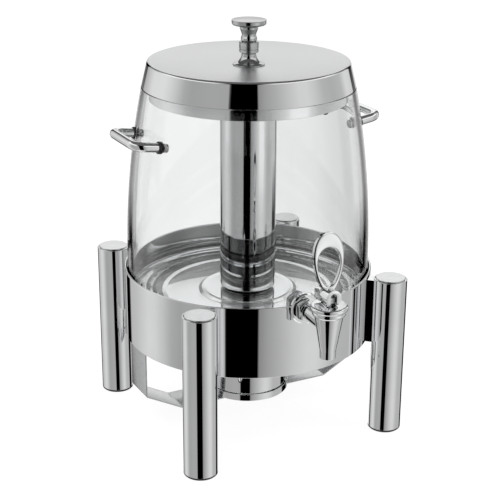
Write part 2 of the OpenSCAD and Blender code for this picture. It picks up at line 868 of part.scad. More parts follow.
// A round boss over the stem with the cam under it, and a bar behind them
module lever_block() {
    bar_z = lever_rear - lever_bar_h;
    heel_y = tongue_r + cam_heel;
    boss_z = lever_arch - lever_w / 2;
    length = lever_back - cam_front + 2 * sink;
    side = concat([[lever_back, lever_rear], [lever_back, bar_z], [heel_y, bar_z], [heel_y, cam_room - pin_up]],
        [for (i = [0 : 10]) cam_point(cam_end * i / 10)],
        [[cam_front, lever_arch], [0, lever_arch]]);
    intersection() {
        translate([-lever_w / 2, 0, 0])
            rotate([90, 0, 90])
                linear_extrude(lever_w)
                    polygon(side);
        union() {
            translate([0, lever_back + sink, boss_z])
                rotate([90, 0, 0])
                    cylinder(d = lever_w, h = length);
            translate([-cam_w / 2, cam_front - sink, -pin_up])
                cube([cam_w, length, pin_up + boss_z]);
            translate([-lever_w / 2, tongue_r, bar_z])
                cube([lever_w, lever_back, lever_bar_h + lever_arch]);
        }
    }
}

// One slice of the loop, drawn in by the given margin
module loop_slice(margin, from, to) {
    loop_foot = lever_rear - 2;
    hole_foot = lever_arch + 1;
    translate([0, to, 0])
        rotate([90, 0, 0])
            linear_extrude(to - from)
                difference() {
                    polygon(egg(loop_w - 2 * margin, loop_foot + margin, loop_top - margin));
                    polygon(egg(loop_hole_w + 2 * margin, hole_foot - margin, loop_hole_top + margin));
                }
}

module lever_loop() {
    half = loop_t / 2;
    rotate([-loop_lean, 0, 0]) {
        loop_slice(0, loop_bevel - half, half - loop_bevel);
        loop_slice(loop_bevel / 2, -half, half);
    }
}

module tap_lever() {
    slot_w = tongue_w + 2 * slide_gap;
    slot_back = tongue_r + slide_gap;
    color(mirror_steel)
        at_pin()
            difference() {
                union() {
                    lever_block();
                    lever_loop();
                }
                translate([-slot_w / 2, cam_front - sink, -pin_up - sink])
                    cube([slot_w, slot_back - cam_front + sink, pin_up + sink + slot_up]);
                rotate([0, 90, 0])
                    cylinder(r = pin_d / 2 + snug / 2, h = 2 * lever_w, center = true);
            }
}

module lever_pin() {
    color(satin_steel)
        at_pin()
            rotate([0, 90, 0])
                cylinder(d = pin_d, h = lever_w - pin_d / 2, center = true);
}

tube_weld_z = floor_top + tube_base_h;

module ice_tube() {
    color(mirror_steel)
        translate([0, 0, tube_weld_z])
            difference() {
                cylinder(r = tube_r, h = tube_h - tube_base_h);
                translate([0, 0, -sink])
                    cylinder(r = tube_r - tube_wall, h = tube_h + sink);
            }
}

module ice_tube_base() {
    centre = [tube_r - tube_corner_r, floor_top + tube_corner_r];
    color(mirror_steel)
        rotate_extrude()
            polygon(concat([[0, floor_top]], arc(centre, tube_corner_r, -90, 0),
                [[tube_r, tube_weld_z], [tube_r - tube_wall, tube_weld_z]],
                arc(centre, tube_corner_r - tube_wall, 0, -90), [[0, floor_top + tube_wall]]));
}

// The lid's top, from the flat middle up to the rim, drawn in by the given margin
function lid_top(margin) =
    [for (i = [0 : 6])
        [lid_flat_r + (shoulder_c[0] - lid_flat_r) * i / 6, lid_mid_z + lid_dish * pow(i / 6, 2) - margin]];

// One spun sheet: dished top, round shoulder, leaning side and an inward flange that rests on the rim
module lid_shell() {
    lean = atan2(lid_lean, lid_h - lid_shoulder_r);
    flange_in = skirt_r + snug;
    color(mirror_steel)
        rotate_extrude()
            polygon(concat([[stud_d / 2 + snug, lid_mid_z]], lid_top(0),
                arc(shoulder_c, lid_shoulder_r, 90, lean),
                [[rim_r, rim_z], [flange_in, rim_z], [flange_in, rim_z + lid_t], [rim_r - lid_t, rim_z + lid_t]],
                arc(shoulder_c, lid_shoulder_r - lid_t, lean, 90),
                flip(lid_top(lid_t)), [[stud_d / 2 + snug, lid_under_z]]));
}

module lid_skirt() {
    weld_h = 4;
    color(mirror_steel)
        translate([0, 0, rim_z - skirt_drop])
            difference() {
                cylinder(r = skirt_r, h = skirt_drop + weld_h);
                translate([0, 0, -sink])
                    cylinder(r = skirt_r - lid_t, h = skirt_drop + weld_h + 2 * sink);
            }
}

module tube_guide() {
    guide_r = tube_r + guide_gap;
    guide_z = floor_top + tube_h - guide_lap;
    guide_l = lid_under_z - guide_z;
    color(satin_steel)
        translate([0, 0, guide_z])
            difference() {
                cylinder(r = guide_r + lid_t, h = guide_l);
                translate([0, 0, -sink])
                    cylinder(r = guide_r, h = guide_l + 2 * sink);
            }
}

// Wide foot, sweeping up to a slim neck
module knob_base() {
    edge = 1.4;
    sweep = knob_base_r - knob_neck_r - edge;
    color(mirror_steel)
        translate([0, 0, lid_mid_z])
            rotate_extrude()
                polygon(concat([[stud_d / 2 + snug, 0], [knob_base_r - edge, 0]],
                    arc([knob_base_r - edge, edge], edge, -90, 90, 4),
                    arc([knob_base_r - edge, 2 * edge + sweep], sweep, 270, 180),
                    [[knob_neck_r, knob_base_h], [stud_d / 2 + snug, knob_base_h]]));
}

module knob_collar() {
    lead = 2;
    line_h = 5.4;
    line = 0.5;
    color(mirror_steel)
        translate([0, 0, knob_collar_z])
            rotate_extrude()
                polygon([[stud_d / 2 + snug, 0], [knob_neck_r, 0], [knob_collar_r, lead],
                    [knob_collar_r, line_h - line], [knob_collar_r - line, line_h],
                    [knob_collar_r, line_h + line], [knob_collar_r, knob_collar_h - line],
                    [knob_collar_r - line, knob_collar_h], [stud_d / 2 + snug, knob_collar_h]]);
}

// A bead, a waist and a flare under a flat round cap
module lid_knob() {
    edge = knob_cap_h / 2.5;
    cap_z = knob_top_h - knob_cap_h;
    bead = knob_neck_r + 1;
    flare = knob_neck_r + 2.2;
    stud_h = knob_top_h / 2;
    color(mirror_steel)
        translate([0, 0, knob_top_z])
            rotate_extrude()
                polygon(concat([[stud_d / 2 + snug, 0], [knob_neck_r, 0], [bead, 1.6], [bead, 3.6]],
                    [[knob_neck_r, 6.4], [knob_neck_r, 8.4], [flare, cap_z - 4], [flare, cap_z - 2],
                        [knob_neck_r, cap_z]],
                    arc([knob_cap_r - edge, cap_z + edge], edge, -90, 0),
                    arc([knob_cap_r - edge, knob_top_h - edge], edge, 0, 90),
                    [[0, knob_top_h], [0, stud_h], [stud_d / 2 + snug, stud_h]]));
}

module knob_stud() {
    low = lid_under_z - knob_nut_h - stud_d / 4;
    color(satin_steel)
        translate([0, 0, low])
            cylinder(d = stud_d, h = knob_top_z + knob_top_h / 2 - snug - low);
}

module knob_nut() {
    color(satin_steel)
        translate([0, 0, lid_under_z - knob_nut_h])
            difference() {
                cylinder(d = knob_nut_af / cos(30), h = knob_nut_h, $fn = 6);
                translate([0, 0, -sink])
                    cylinder(d = stud_d + 2 * snug, h = knob_nut_h + 2 * sink);
            }
}

base_band();
base_pan();
leg_tube(leg_turns[0]);  // leg_tube_front_left
leg_tube(leg_turns[1]);  // leg_tube_front_right
leg_tube(leg_turns[2]);  // leg_tube_rear_left
leg_tube(leg_turns[3]);  // leg_tube_rear_right
leg_cap(leg_turns[0]);  // leg_cap_front_left
leg_cap(leg_turns[1]);  // leg_cap_front_right
leg_cap(leg_turns[2]);  // leg_cap_rear_left
leg_cap(leg_turns[3]);  // leg_cap_rear_right
leg_foot(leg_turns[0]);  // leg_foot_front_left
leg_foot(leg_turns[1]);  // leg_foot_front_right
leg_foot(leg_turns[2]);  // leg_foot_rear_left
leg_foot(leg_turns[3]);  // leg_foot_rear_right
leg_spacer(leg_turns[0]);  // leg_spacer_front_left
leg_spacer(leg_turns[1]);  // leg_spacer_front_right
leg_spacer(leg_turns[2]);  // leg_spacer_rear_left
leg_spacer(leg_turns[3]);  // leg_spacer_rear_right
leg_bolts();
leg_inserts();
strap_bracket();
cup_saucer();
fuel_cup();
barrel();
barrel_floor();
handle(-1);  // handle_left
handle(1);  // handle_right
handle_collars();
handle_washers();
handle_screws();
tap_body();
tap_bonnet();
tap_washer();
tap_hex_nut();
tap_gasket_outer();
tap_gasket_inner();
tap_back_nut();
valve_stem();
seat_cup();
tap_lever();
lever_pin();
ice_tube();
ice_tube_base();
lid_shell();
lid_skirt();
tube_guide();
lid_knob();
knob_collar();
knob_base();
knob_stud();
knob_nut();
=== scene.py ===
import math

import bpy
from mathutils import Matrix, Vector


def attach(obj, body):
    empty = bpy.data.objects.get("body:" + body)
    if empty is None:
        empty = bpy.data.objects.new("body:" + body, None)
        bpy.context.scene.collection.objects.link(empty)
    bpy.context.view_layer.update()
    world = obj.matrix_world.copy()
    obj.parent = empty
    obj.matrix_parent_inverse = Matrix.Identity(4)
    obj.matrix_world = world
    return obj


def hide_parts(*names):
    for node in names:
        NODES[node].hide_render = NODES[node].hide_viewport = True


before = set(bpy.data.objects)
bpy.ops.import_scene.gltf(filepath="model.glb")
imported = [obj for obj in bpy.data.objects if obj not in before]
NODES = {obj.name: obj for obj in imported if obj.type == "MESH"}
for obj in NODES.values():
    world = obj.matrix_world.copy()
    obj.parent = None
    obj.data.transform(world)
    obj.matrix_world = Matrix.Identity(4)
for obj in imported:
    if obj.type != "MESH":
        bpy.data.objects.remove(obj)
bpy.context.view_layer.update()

bl_info = {
    "name": "Juice dispenser",
    "version": (1, 0, 0),
    "blender": (4, 5, 0),
    "location": "3D View > Sidebar > Dispenser",
    "description": "Models the visible pieces of a juice dispenser on its packed frame, and its studio",
    "category": "Object",
}

# Sizes of the dispenser are in millimetres and angles in degrees, as in the part's source
MM = 0.001

# Room between pieces that fit into each other, and how far a cutting tool reaches past its cut
FIT_GAP = 0.05
CUT_PAST = 2

# Steps round wide, slim and small turned pieces, and the distance in metres under which points are one
WIDE_STEPS = 192
SLIM_STEPS = 96
SMALL_STEPS = 48
MERGE = 2e-6

# Angles over which an edge stays sharp in the shading, and over which it is rounded off
SMOOTH = 32
SHARP = 35

# A rounding's straight leads, as shares of its radius and of the room beside it, the turn between
# its points, and how far roundings may overlap
LEAD = 0.12
LEAD_ROOM = 0.4
BEND_STEP = 11
BEND_SLACK = 1e-6

# Legs
LEGS = {"front_left": -45, "front_right": 45, "rear_left": -135, "rear_right": 135}
LEG_CIRCLE_R = 170
LEG_R = 19
LEG_IN_R = 17.5
LEG_TOP = 188.8
LEG_RIM = LEG_TOP - 0.9
PLUG_R = LEG_IN_R - FIT_GAP
PLUG_H = 14
CAP_R = LEG_IN_R - 0.8
CAP_TOP = LEG_TOP + 0.4
CAP_EDGE_Z = CAP_TOP - 0.9
CAP_GROOVE_R = CAP_R - 0.7
CAP_GROOVE_Z = LEG_TOP - 2.4
FOOT_H = 3
FOOT_SLOPE = 1.5

# Leg screws, whose lengths run outwards from the barrel's axis
BOLT_HEIGHTS = (125.5, 167)
BOLT_R = 3
BOLT_HEAD_R = 6.5
BOLT_HEAD = (141.1, 142.6)
BOLT_END = 164.4
SOCKET_R = 2.9
SOCKET_DEPTH = 2
SOCKET_MIDDLE = 141

# Ring, its hemmed edge and the notch for the tap
BAND_R = 143.99
BAND_IN_R = 142.8
BAND_Z = 106.5
BAND_TOP = 188.5
HEM_R = BAND_IN_R - 1.2
HEM_Z = BAND_TOP - 4.5
NOTCH_R = 9.8
NOTCH_Z = 173
NOTCH_DEPTH = 6

# Pan, which rises in two steps to its middle, with a bead of (radius, top) on each step's edge
PAN_R = BAND_IN_R - FIT_GAP
PAN_T = 1
PAN_Z = 150
PAN_STEP_Z = 153
PAN_MIDDLE_Z = 155
PAN_SKIRT_Z = 141
PAN_BEADS = ((54, 156.2), (101, 154.4))

# Strap, saucer and cup
STRAP_X = 140.4
STRAP_TOP = 134.5
STRAP_BEND_Z = 52.5
STRAP_FLAT_X = 95.8
STRAP_Z = 28.8
STRAP_HALF = 21
STRAP_T = 1.6
STRAP_EDGE = 0.4
SAUCER_R = 49
SAUCER_Z = 29.6
SAUCER_TOP = 38.6
SAUCER_T = 1
CUP_R = 47
CUP_Z = 30.6
CUP_TOP = 91.6
CUP_T = 0.8
CUP_ROUND = 5

# Barrel
BARREL_R = 140
WALL = 5.5
CURVE_R = 990
CURVE_Z = 200
RIM_Z = 399.5
RIM_ROUND = 1.6
BARREL_ROUND = 22
FLOOR_ROUND = 10
FLOOR_UNDER = 157
FLOOR_TOP = 161
LEDGE_R = 109
LEDGE_FOOT_R = 112

# Handles, whose lengths run outwards from the wall
HANDLE_X = 124.0
HANDLE_Z = 350
HANDLE_TILT = 8.715
HANDLE_HALF = 34
ROD_R = 5.25
ROD_START = 3
ROD_BEND = 12
ROD_OUT = 28.48
ROD_SIDES = 40
ROD_STEPS = 14
ROD_EDGE = 0.4
COLLAR_R = 6.75
COLLAR_SPAN = (-4, 3)
WASHER_IN = 8.07
SCREW_R = 2.5
SCREW_HEAD_R = 5
SCREW_HEAD_H = 2.5
SCREW_END = 2.9
SCREW_HOLE_SPAN = (-12, 8)

# Tap: the upright spout and its bonnet
TAP_TURN = -2.8
TAP_Z = 185.3
SPOUT_Y = 200
SPOUT_TIP = 149.6
SPOUT_TIP_R = 8.5
SPOUT_BELL_Z = 158.6
SPOUT_BELL_R = 8.8
SPOUT_IN_R = 7.09
OUTLET_R = 6
OUTLET_TOP = 165
BODY_R = 15.5
BODY_TOP = 198
NECK_R = 14.6
NECK_IN_R = 12.4
NECK_TOP = 202.5
BONNET_IN_R = NECK_R + FIT_GAP
BONNET_ROOF = NECK_TOP + FIT_GAP
BONNET_TOP = BODY_TOP + 12
BONNET_TOP_R = 16
BONNET_BEAD = 3
BONNET_BEADS_R = (17.8, 20.2)
STEM_HOLE_R = 3.3

# Tap: the shank, washer and nuts, whose lengths run outwards from the barrel's axis
SHANK_R = 8
SHANK_BORE_R = 5.5
SHANK_START = 120
SHANK_END = 189.5
SHANK_STUB_R = 9
TAP_HOLE_R = SHANK_R + FIT_GAP
TAP_HOLE_DEPTH = 30
FLANGE_R = 17.5
FLANGE_START = 144.3
NUT_START = 149.3
NUT_END = 158.3
BACK_NUT = (124, 132)
NUT_ACROSS = 24
NUT_FACE_R = 10.6
NUT_FACE_RISE = 0.6
NUT_CORNER_R = 15
NUT_CORNER_DROP = 1.7
NUT_EDGE = 0.25

# Lever, measured from its pin
PIN_Z = 216.6
PIN_R = 2
PIN_HALF = 8
PIN_HOLE_R = 2.02
PIN_HOLE_HALF = 15
CAM_H = 6.4
CAM_LIFT = 3.5
CAM_END = 50
CAM_STEPS = 10
CAM_BACK = 7.1
BLOCK_HALF = 9
BLOCK_FRONT = -12
BLOCK_BACK = 16
BLOCK_BACK_TOP = 7.5
BLOCK_UNDER = -3
BLOCK_TOP = 11.8
CROWN_Z = 2.8
CHEEK_HALF = 6
CHEEK_UNDER = -7
BLOCK_SHOULDER = 4.5
SLOT_HALF = 3.8
SLOT_BACK = 4.8
SLOT_TOP = 4.5
TOOL_REACH = 20

# The loop's two egg outlines, as half width, middle height and half height above the pin; half its
# thickness, how far it stands behind the pin, and its lean
LOOP_OUT = (17, 38.25, 32.75)
LOOP_HOLE = (13, 33.9, 21.1)
LOOP_HALF = 2.8
LOOP_BACK = 1.4
LOOP_LEAN = -5
# The bevels of the loop's outside and of its hole, as distance in from the edge and share of the rise
LOOP_BEVEL = ((0, 0), (0.12, 0.14), (1.35, 0.88), (1.65, 0.98), (1.9, 1))
LOOP_HOLE_BEVEL = ((1.3, 1), (0.9, 0.93), (0.5, 0.72), (0.2, 0.4), (0.06, 0.12), (0, -0.1))

# Ice tube
TUBE_R = 32.3
TUBE_IN_R = 31.1
TUBE_WELD = 177
TUBE_TOP = 395
TUBE_BASE_T = 1.2
TUBE_ROUND = 4

# Lid; LID_SIDE is a point on its sloping side, and the brushed top ends between the radii of LID_BRUSHED
LID_RIM_R = 119.8
LID_RIM_IN_R = LID_RIM_R - 1.1
LID_SIDE = (117, 410)
LID_MID = 421.7
LID_DISH = 5.2
LID_FLAT_R = 40
LID_BRUSHED = (110.5, 113.5)
LID_T = 1
LID_LEAN = math.degrees(math.atan2(6, 24.2))
SHOULDER = (110.6, 423.7)
SHOULDER_R = 3.2
SKIRT_R = 111
SKIRT_DROP = 14
SKIRT_RISE = 4
GUIDE_R = 34
GUIDE_Z = 387.7

# Knob
STUD_HOLE_R = 4 + FIT_GAP
STUD_HOLE_END = 12.2
KNOB_FOOT_R = 18
KNOB_LIP = 0.63
KNOB_NECK_R = 8.1
KNOB_HOLLOW_R = 10.5
KNOB_COLLAR_Z = 434
KNOB_COLLAR_R = 10.8
KNOB_GROOVE = 0.5
KNOB_GROOVE_Z = KNOB_COLLAR_Z + 5.4
KNOB_TOP_Z = 447.6
KNOB_CAP_Z = KNOB_TOP_Z + 18.1
KNOB_CAP_R = 19.4
KNOB_WAIST_R = 9.1
KNOB_BEAD_R = 10.3
KNOB_END = KNOB_TOP_Z + 24.4
KNOB_DOME_R = 324
KNOB_DOME_HALF = 3.25


class DispenserFinish(bpy.types.PropertyGroup):
    mirror_colour: bpy.props.FloatVectorProperty(
        name="Mirror steel", description="Colour of the polished steel",
        subtype="COLOR", size=3, min=0, max=1, default=(0.9, 0.905, 0.91))
    mirror_roughness: bpy.props.FloatProperty(
        name="Mirror roughness", description="Roughness of the polished steel",
        subtype="FACTOR", min=0, max=1, default=0.015)
    lid_colour: bpy.props.FloatVectorProperty(
        name="Lid top", description="Colour of the lid's brushed top",
        subtype="COLOR", size=3, min=0, max=1, default=(0.78, 0.785, 0.79))
    lid_roughness: bpy.props.FloatProperty(
        name="Lid top roughness", description="Roughness of the lid's brushed top",
        subtype="FACTOR", min=0, max=1, default=0.33)
    cap_colour: bpy.props.FloatVectorProperty(
        name="Leg caps", description="Colour of the legs' polished caps",
        subtype="COLOR", size=3, min=0, max=1, default=(0.74, 0.745, 0.75))
    # The knob's colour is darker than the sheet's: painted shade for the dark surroundings that the knob
    # reflects
    knob_shade_colour: bpy.props.FloatVectorProperty(
        name="Knob", description="Colour of the knob's turned steel",
        subtype="COLOR", size=3, min=0, max=1, default=(0.58, 0.585, 0.59))
    satin_colour: bpy.props.FloatVectorProperty(
        name="Satin steel", description="Colour of the brushed steel",
        subtype="COLOR", size=3, min=0, max=1, default=(0.62, 0.625, 0.63))
    satin_roughness: bpy.props.FloatProperty(
        name="Satin roughness", description="Roughness of the brushed steel",
        subtype="FACTOR", min=0, max=1, default=0.22)
    plastic_colour: bpy.props.FloatVectorProperty(
        name="Clear plastic", description="Tint of the barrel",
        subtype="COLOR", size=3, min=0, max=1, default=(0.985, 0.99, 0.99))
    plastic_ior: bpy.props.FloatProperty(
        name="Clear plastic IOR", description="Refraction of the barrel", min=1, max=2, default=1.5)
    silicone_colour: bpy.props.FloatVectorProperty(
        name="Silicone", description="Colour of the washers and gaskets",
        subtype="COLOR", size=3, min=0, max=1, default=(0.72, 0.72, 0.7))
    black_colour: bpy.props.FloatVectorProperty(
        name="Black plastic", description="Colour of the feet and the handles' collars",
        subtype="COLOR", size=3, min=0, max=1, default=(0.012, 0.012, 0.013))


class DispenserShape(bpy.types.PropertyGroup):
    turn_steps: bpy.props.IntProperty(
        name="Steps", description="Steps round a turned piece", min=24, max=256, default=144)
    loop_side: bpy.props.FloatProperty(
        name="Loop rim", description="Half width of the flat rim round the lever's loop",
        unit="LENGTH", min=0.0005, max=0.0022, default=0.0019)
    block_round: bpy.props.FloatProperty(
        name="Block rounding", description="Rounding of the lever block's edges",
        unit="LENGTH", min=0.0001, max=0.002, default=0.0005)


class DispenserStage(bpy.types.PropertyGroup):
    azimuth: bpy.props.FloatProperty(
        name="Azimuth", description="Where the camera stands round the dispenser",
        subtype="ANGLE", default=math.radians(-27.79))
    elevation: bpy.props.FloatProperty(
        name="Elevation", description="How far the camera looks down",
        subtype="ANGLE", default=math.radians(20.35))
    roll: bpy.props.FloatProperty(
        name="Roll", description="Tilt of the camera", subtype="ANGLE", default=math.radians(0.34))
    distance: bpy.props.FloatProperty(
        name="Distance", description="From the camera to its aim", unit="LENGTH", default=1.48743)
    aim_height: bpy.props.FloatProperty(
        name="Aim height", description="Height of the camera's aim", unit="LENGTH", default=0.20221)
    lens: bpy.props.FloatProperty(
        name="Lens", description="Focal length in millimetres", unit="CAMERA", default=91.69)
    shift: bpy.props.FloatProperty(
        name="Shift", description="Sideways lens shift", default=0.0046)
    floor_colour: bpy.props.FloatVectorProperty(
        name="Floor", description="Colour of the floor",
        subtype="COLOR", size=3, min=0, max=1, default=(0.9, 0.9, 0.9))
    lamp_power: bpy.props.FloatProperty(
        name="Lamp power", description="Power of the key lamp", subtype="POWER", default=22)
    ambient: bpy.props.FloatProperty(
        name="Ambient", description="Light from all round", default=0.55)


def arc(x, z, r, start, end, steps=8):
    """Points along an arc, in degrees."""
    turns = [math.radians(start + (end - start) * i / steps) for i in range(steps + 1)]
    return [(x + r * math.cos(t), z + r * math.sin(t)) for t in turns]


def rounded(corners, closed=True):
    """An outline through (x, z, rounding) corners.

    Each rounding gets a short straight lead on both sides, for clean shading.
    """
    count = len(corners)
    spots = [Vector(corner[:2]) for corner in corners]
    radii = [corner[2] if len(corner) > 2 and (closed or 0 < i < count - 1) else 0
             for i, corner in enumerate(corners)]
    sides = [(spots[i - 1] - spots[i], spots[(i + 1) % count] - spots[i]) for i in range(count)]
    reach = [r / math.tan(back.angle(ahead) / 2) if r else 0
             for r, (back, ahead) in zip(radii, sides)]
    points = []
    for i, (here, r, (back, ahead)) in enumerate(zip(spots, radii, sides)):
        if r == 0:
            points.append(here)
            continue
        room = [back.length - reach[i] - reach[i - 1],
                ahead.length - reach[i] - reach[(i + 1) % count]]
        if min(room) < -BEND_SLACK:
            raise ValueError(f"roundings overlap at {tuple(here)}")
        leads = [min(LEAD * r, LEAD_ROOM * gap) for gap in room]
        half = back.angle(ahead) / 2
        back, ahead = back.normalized(), ahead.normalized()
        centre = here + (back + ahead).normalized() * (r / math.sin(half))
        first = here + back * reach[i] - centre
        sweep = math.pi - 2 * half
        sense = 1 if back.cross(first) > 0 else -1
        steps = max(2, math.ceil(math.degrees(sweep) / BEND_STEP))
        points.append(here + back * (reach[i] + leads[0]))
        points += [centre + Matrix.Rotation(sense * sweep * k / steps, 2) @ first
                   for k in range(steps + 1)]
        points.append(here + ahead * (reach[i] + leads[1]))
    if closed:
        points.append(points[0])
    return [tuple(p) for p in points]


def pull(x, y, z):
    """Extrudes what is selected in edit mode by a step in millimetres."""
    bpy.ops.mesh.extrude_region_move(TRANSFORM_OT_translate={"value": Vector((x, y, z)) * MM})


def draw(points):
    """A line of edges through points in millimetres, left open in edit mode."""
    bpy.ops.object.select_all(action="DESELECT")
    bpy.ops.mesh.primitive_plane_add(size=MM)
    bpy.ops.object.mode_set(mode="EDIT")
    bpy.ops.mesh.merge(type="CENTER")
    bpy.ops.transform.translate(value=Vector(points[0]) * MM)
    for a, b in zip(points, points[1:]):
        pull(*(Vector(b) - Vector(a)))
    bpy.ops.mesh.select_all(action="SELECT")


def named(piece, name):
    """Names a piece and its mesh."""
    piece.name = piece.data.name = name
    return piece


def close_up(name, smooth=SMOOTH):
    """Merges a drawn shape, points its faces outwards, leaves edit mode and names it."""
    bpy.ops.mesh.select_all(action="SELECT")
    bpy.ops.mesh.remove_doubles(threshold=MERGE)
    bpy.ops.mesh.dissolve_degenerate(threshold=1e-7)
    bpy.ops.mesh.normals_make_consistent(inside=False)
    bpy.ops.object.mode_set(mode="OBJECT")
    bpy.ops.object.shade_smooth_by_angle(angle=math.radians(smooth))
    return named(bpy.context.object, name)


def turned(name, outline, steps=None):
    """A shape turned about the Z axis from an outline of (radius, height)."""
    draw([(r, 0, z) for r, z in outline])
    steps = steps or bpy.context.scene.dispenser_shape.turn_steps
    bpy.ops.mesh.spin(steps=steps, angle=2 * math.pi, center=(0, 0, 0), axis=(0, 0, 1))
    return close_up(name)


def slab(name, outline, depth):
    """A flat shape with a closed outline of (x, y), raised by depth along Z."""
    draw([(x, y, 0) for x, y in outline])
    bpy.ops.mesh.remove_doubles(threshold=MERGE)
    bpy.ops.mesh.edge_face_add()
    pull(0, 0, depth)
    return close_up(name)


def simple(add, **sizes):
    """A simple shape from one of Blender's own, with its place in its mesh."""
    bpy.ops.object.select_all(action="DESELECT")
    add(**sizes)
    bpy.ops.object.transform_apply(location=True, rotation=True, scale=True)
    return bpy.context.object


def post(r, length):
    """A plain round cutting tool that stands on the origin."""
    return simple(bpy.ops.mesh.primitive_cylinder_add, vertices=64, radius=r * MM, depth=length * MM,
                  location=(0, 0, length * MM / 2))


def brick(x, y, z):
    """A plain square cutting tool between pairs of limits."""
    return simple(bpy.ops.mesh.primitive_cube_add, size=1,
                  location=[sum(pair) * MM / 2 for pair in (x, y, z)],
                  scale=[(pair[1] - pair[0]) * MM for pair in (x, y, z)])


def six_sided(r, low, high):
    """A six-sided bar along Z, with its corners on a radius."""
    return simple(bpy.ops.mesh.primitive_cylinder_add, vertices=6, radius=r * MM, depth=(high - low) * MM,
                  location=(0, 0, (low + high) / 2 * MM))


def only(piece):
    """Selects one piece and makes it active."""
    bpy.ops.object.select_all(action="DESELECT")
    piece.select_set(True)
    bpy.context.view_layer.objects.active = piece


def place(piece, matrix):
    """Puts a piece in its place, and the place into its mesh."""
    only(piece)
    piece.matrix_world = matrix
    bpy.ops.object.transform_apply(location=True, rotation=True, scale=True)
    return piece


def copies(piece, matrices):
    """Copies of a piece modelled at the origin, one for each matrix, the piece itself the last."""
    made = []
    for matrix in matrices[:-1]:
        only(piece)
        bpy.ops.object.duplicate(linked=False)
        made.append(place(bpy.context.object, matrix))
    return made + [place(piece, matrices[-1])]


def join(name, parts):
    """One piece from several."""
    bpy.ops.object.select_all(action="DESELECT")
    for part in parts:
        part.select_set(True)
    bpy.context.view_layer.objects.active = parts[0]
    bpy.ops.object.join()
    return named(parts[0], name)


def combine(piece, tool, operation):
    """Cuts, joins or crosses a piece with a tool, and deletes the tool."""
    only(piece)
    bpy.ops.object.modifier_add(type="BOOLEAN")
    change = piece.modifiers[-1]
    change.operation = operation
    change.solver = "MANIFOLD"
    change.object = tool
    bpy.ops.object.modifier_apply(modifier=change.name)
    bpy.data.objects.remove(tool)
    return piece


def soften(piece, width, segments=3, limit=SHARP):
    """Rounds a piece's sharp edges by a width in metres."""
    only(piece)
    bpy.ops.object.modifier_add(type="BEVEL")
    change = piece.modifiers[-1]
    change.width = width
    change.segments = segments
    change.limit_method = "ANGLE"
    change.angle_limit = math.radians(limit)
    change.use_clamp_overlap = True
    bpy.ops.object.modifier_apply(modifier=change.name)
    bpy.ops.object.shade_smooth_by_angle(angle=math.radians(limit))
    return piece


def turn(axis, angle):
    """A turn about an axis, in degrees."""
    return Matrix.Rotation(math.radians(angle), 4, axis)


def shift(x, y, z):
    """A move in millimetres."""
    return Matrix.Translation(Vector((x, y, z)) * MM)


def at_leg(angle):
    """A leg's frame, on the floor."""
    return turn("Z", angle) @ shift(0, -LEG_CIRCLE_R, 0)


def spoke(angle, z):
    """A frame whose Z axis runs outwards from the barrel's axis, at a height."""
    return turn("Z", angle) @ shift(0, 0, z) @ turn("X", 90)


def at_spout(z=0):
    """A frame on the spout's upright axis, at a height."""
    return turn("Z", TAP_TURN) @ shift(0, -SPOUT_Y, z)


def at_handle(side):
    """A handle's frame: X runs out along its legs from the wall."""
    facing = turn("Z", 0 if side > 0 else 180)
    return facing @ shift(HANDLE_X, 0, HANDLE_Z) @ turn("Y", -HANDLE_TILT)


def handle_ends():
    """A frame at each of the four handle ends, with Z running outwards."""
    return [at_handle(side) @ shift(0, end * HANDLE_HALF, 0) @ turn("Y", 90)
            for side in (-1, 1) for end in (-1, 1)]


def new_finish(name):
    """A material with its shader and Object coordinates."""
    finish = bpy.data.materials.new(name + "_finish")
    finish.use_nodes = True
    nodes = finish.node_tree.nodes
    coords = nodes.new("ShaderNodeTexCoord")
    return finish, nodes, finish.node_tree.links, nodes["Principled BSDF"], coords.outputs["Object"]


def grain(nodes, links, coords, scale, detail, stretch=(1, 1, 1)):
    """A noise pattern, stretched along the axes."""
    spread = nodes.new("ShaderNodeMapping")
    spread.inputs["Scale"].default_value = stretch
    links.new(coords, spread.inputs["Vector"])
    noise = nodes.new("ShaderNodeTexNoise")
    noise.inputs["Scale"].default_value = scale
    noise.inputs["Detail"].default_value = detail
    links.new(spread.outputs["Vector"], noise.inputs["Vector"])
    return noise.outputs["Fac"]


# The part of a pattern's range that carries its changes of colour and roughness
GRAIN_LOW = 0.3
GRAIN_HIGH = 0.7


def between(nodes, links, value, low, high):
    """A pattern carried to a range of values."""
    spread = nodes.new("ShaderNodeMapRange")
    spread.inputs["From Min"].default_value = GRAIN_LOW
    spread.inputs["From Max"].default_value = GRAIN_HIGH
    spread.inputs["To Min"].default_value = low
    spread.inputs["To Max"].default_value = high
    links.new(value, spread.inputs["Value"])
    return spread.outputs["Result"]


def shades(nodes, links, value, dark, light):
    """A pattern carried to a range of colours."""
    ramp = nodes.new("ShaderNodeValToRGB")
    ramp.color_ramp.elements[0].position = GRAIN_LOW
    ramp.color_ramp.elements[0].color = (*dark, 1)
    ramp.color_ramp.elements[1].position = GRAIN_HIGH
    ramp.color_ramp.elements[1].color = (*light, 1)
    links.new(value, ramp.inputs["Fac"])
    return ramp.outputs["Color"]


def relief(nodes, links, shader, height, strength, depth):
    """Fine relief from a pattern."""
    bump = nodes.new("ShaderNodeBump")
    bump.inputs["Strength"].default_value = strength
    bump.inputs["Distance"].default_value = depth
    links.new(height, bump.inputs["Height"])
    links.new(bump.outputs["Normal"], shader.inputs["Normal"])


def toned(colour, factor):
    """A lighter or darker colour."""
    return tuple(min(1, c * factor) for c in colour)


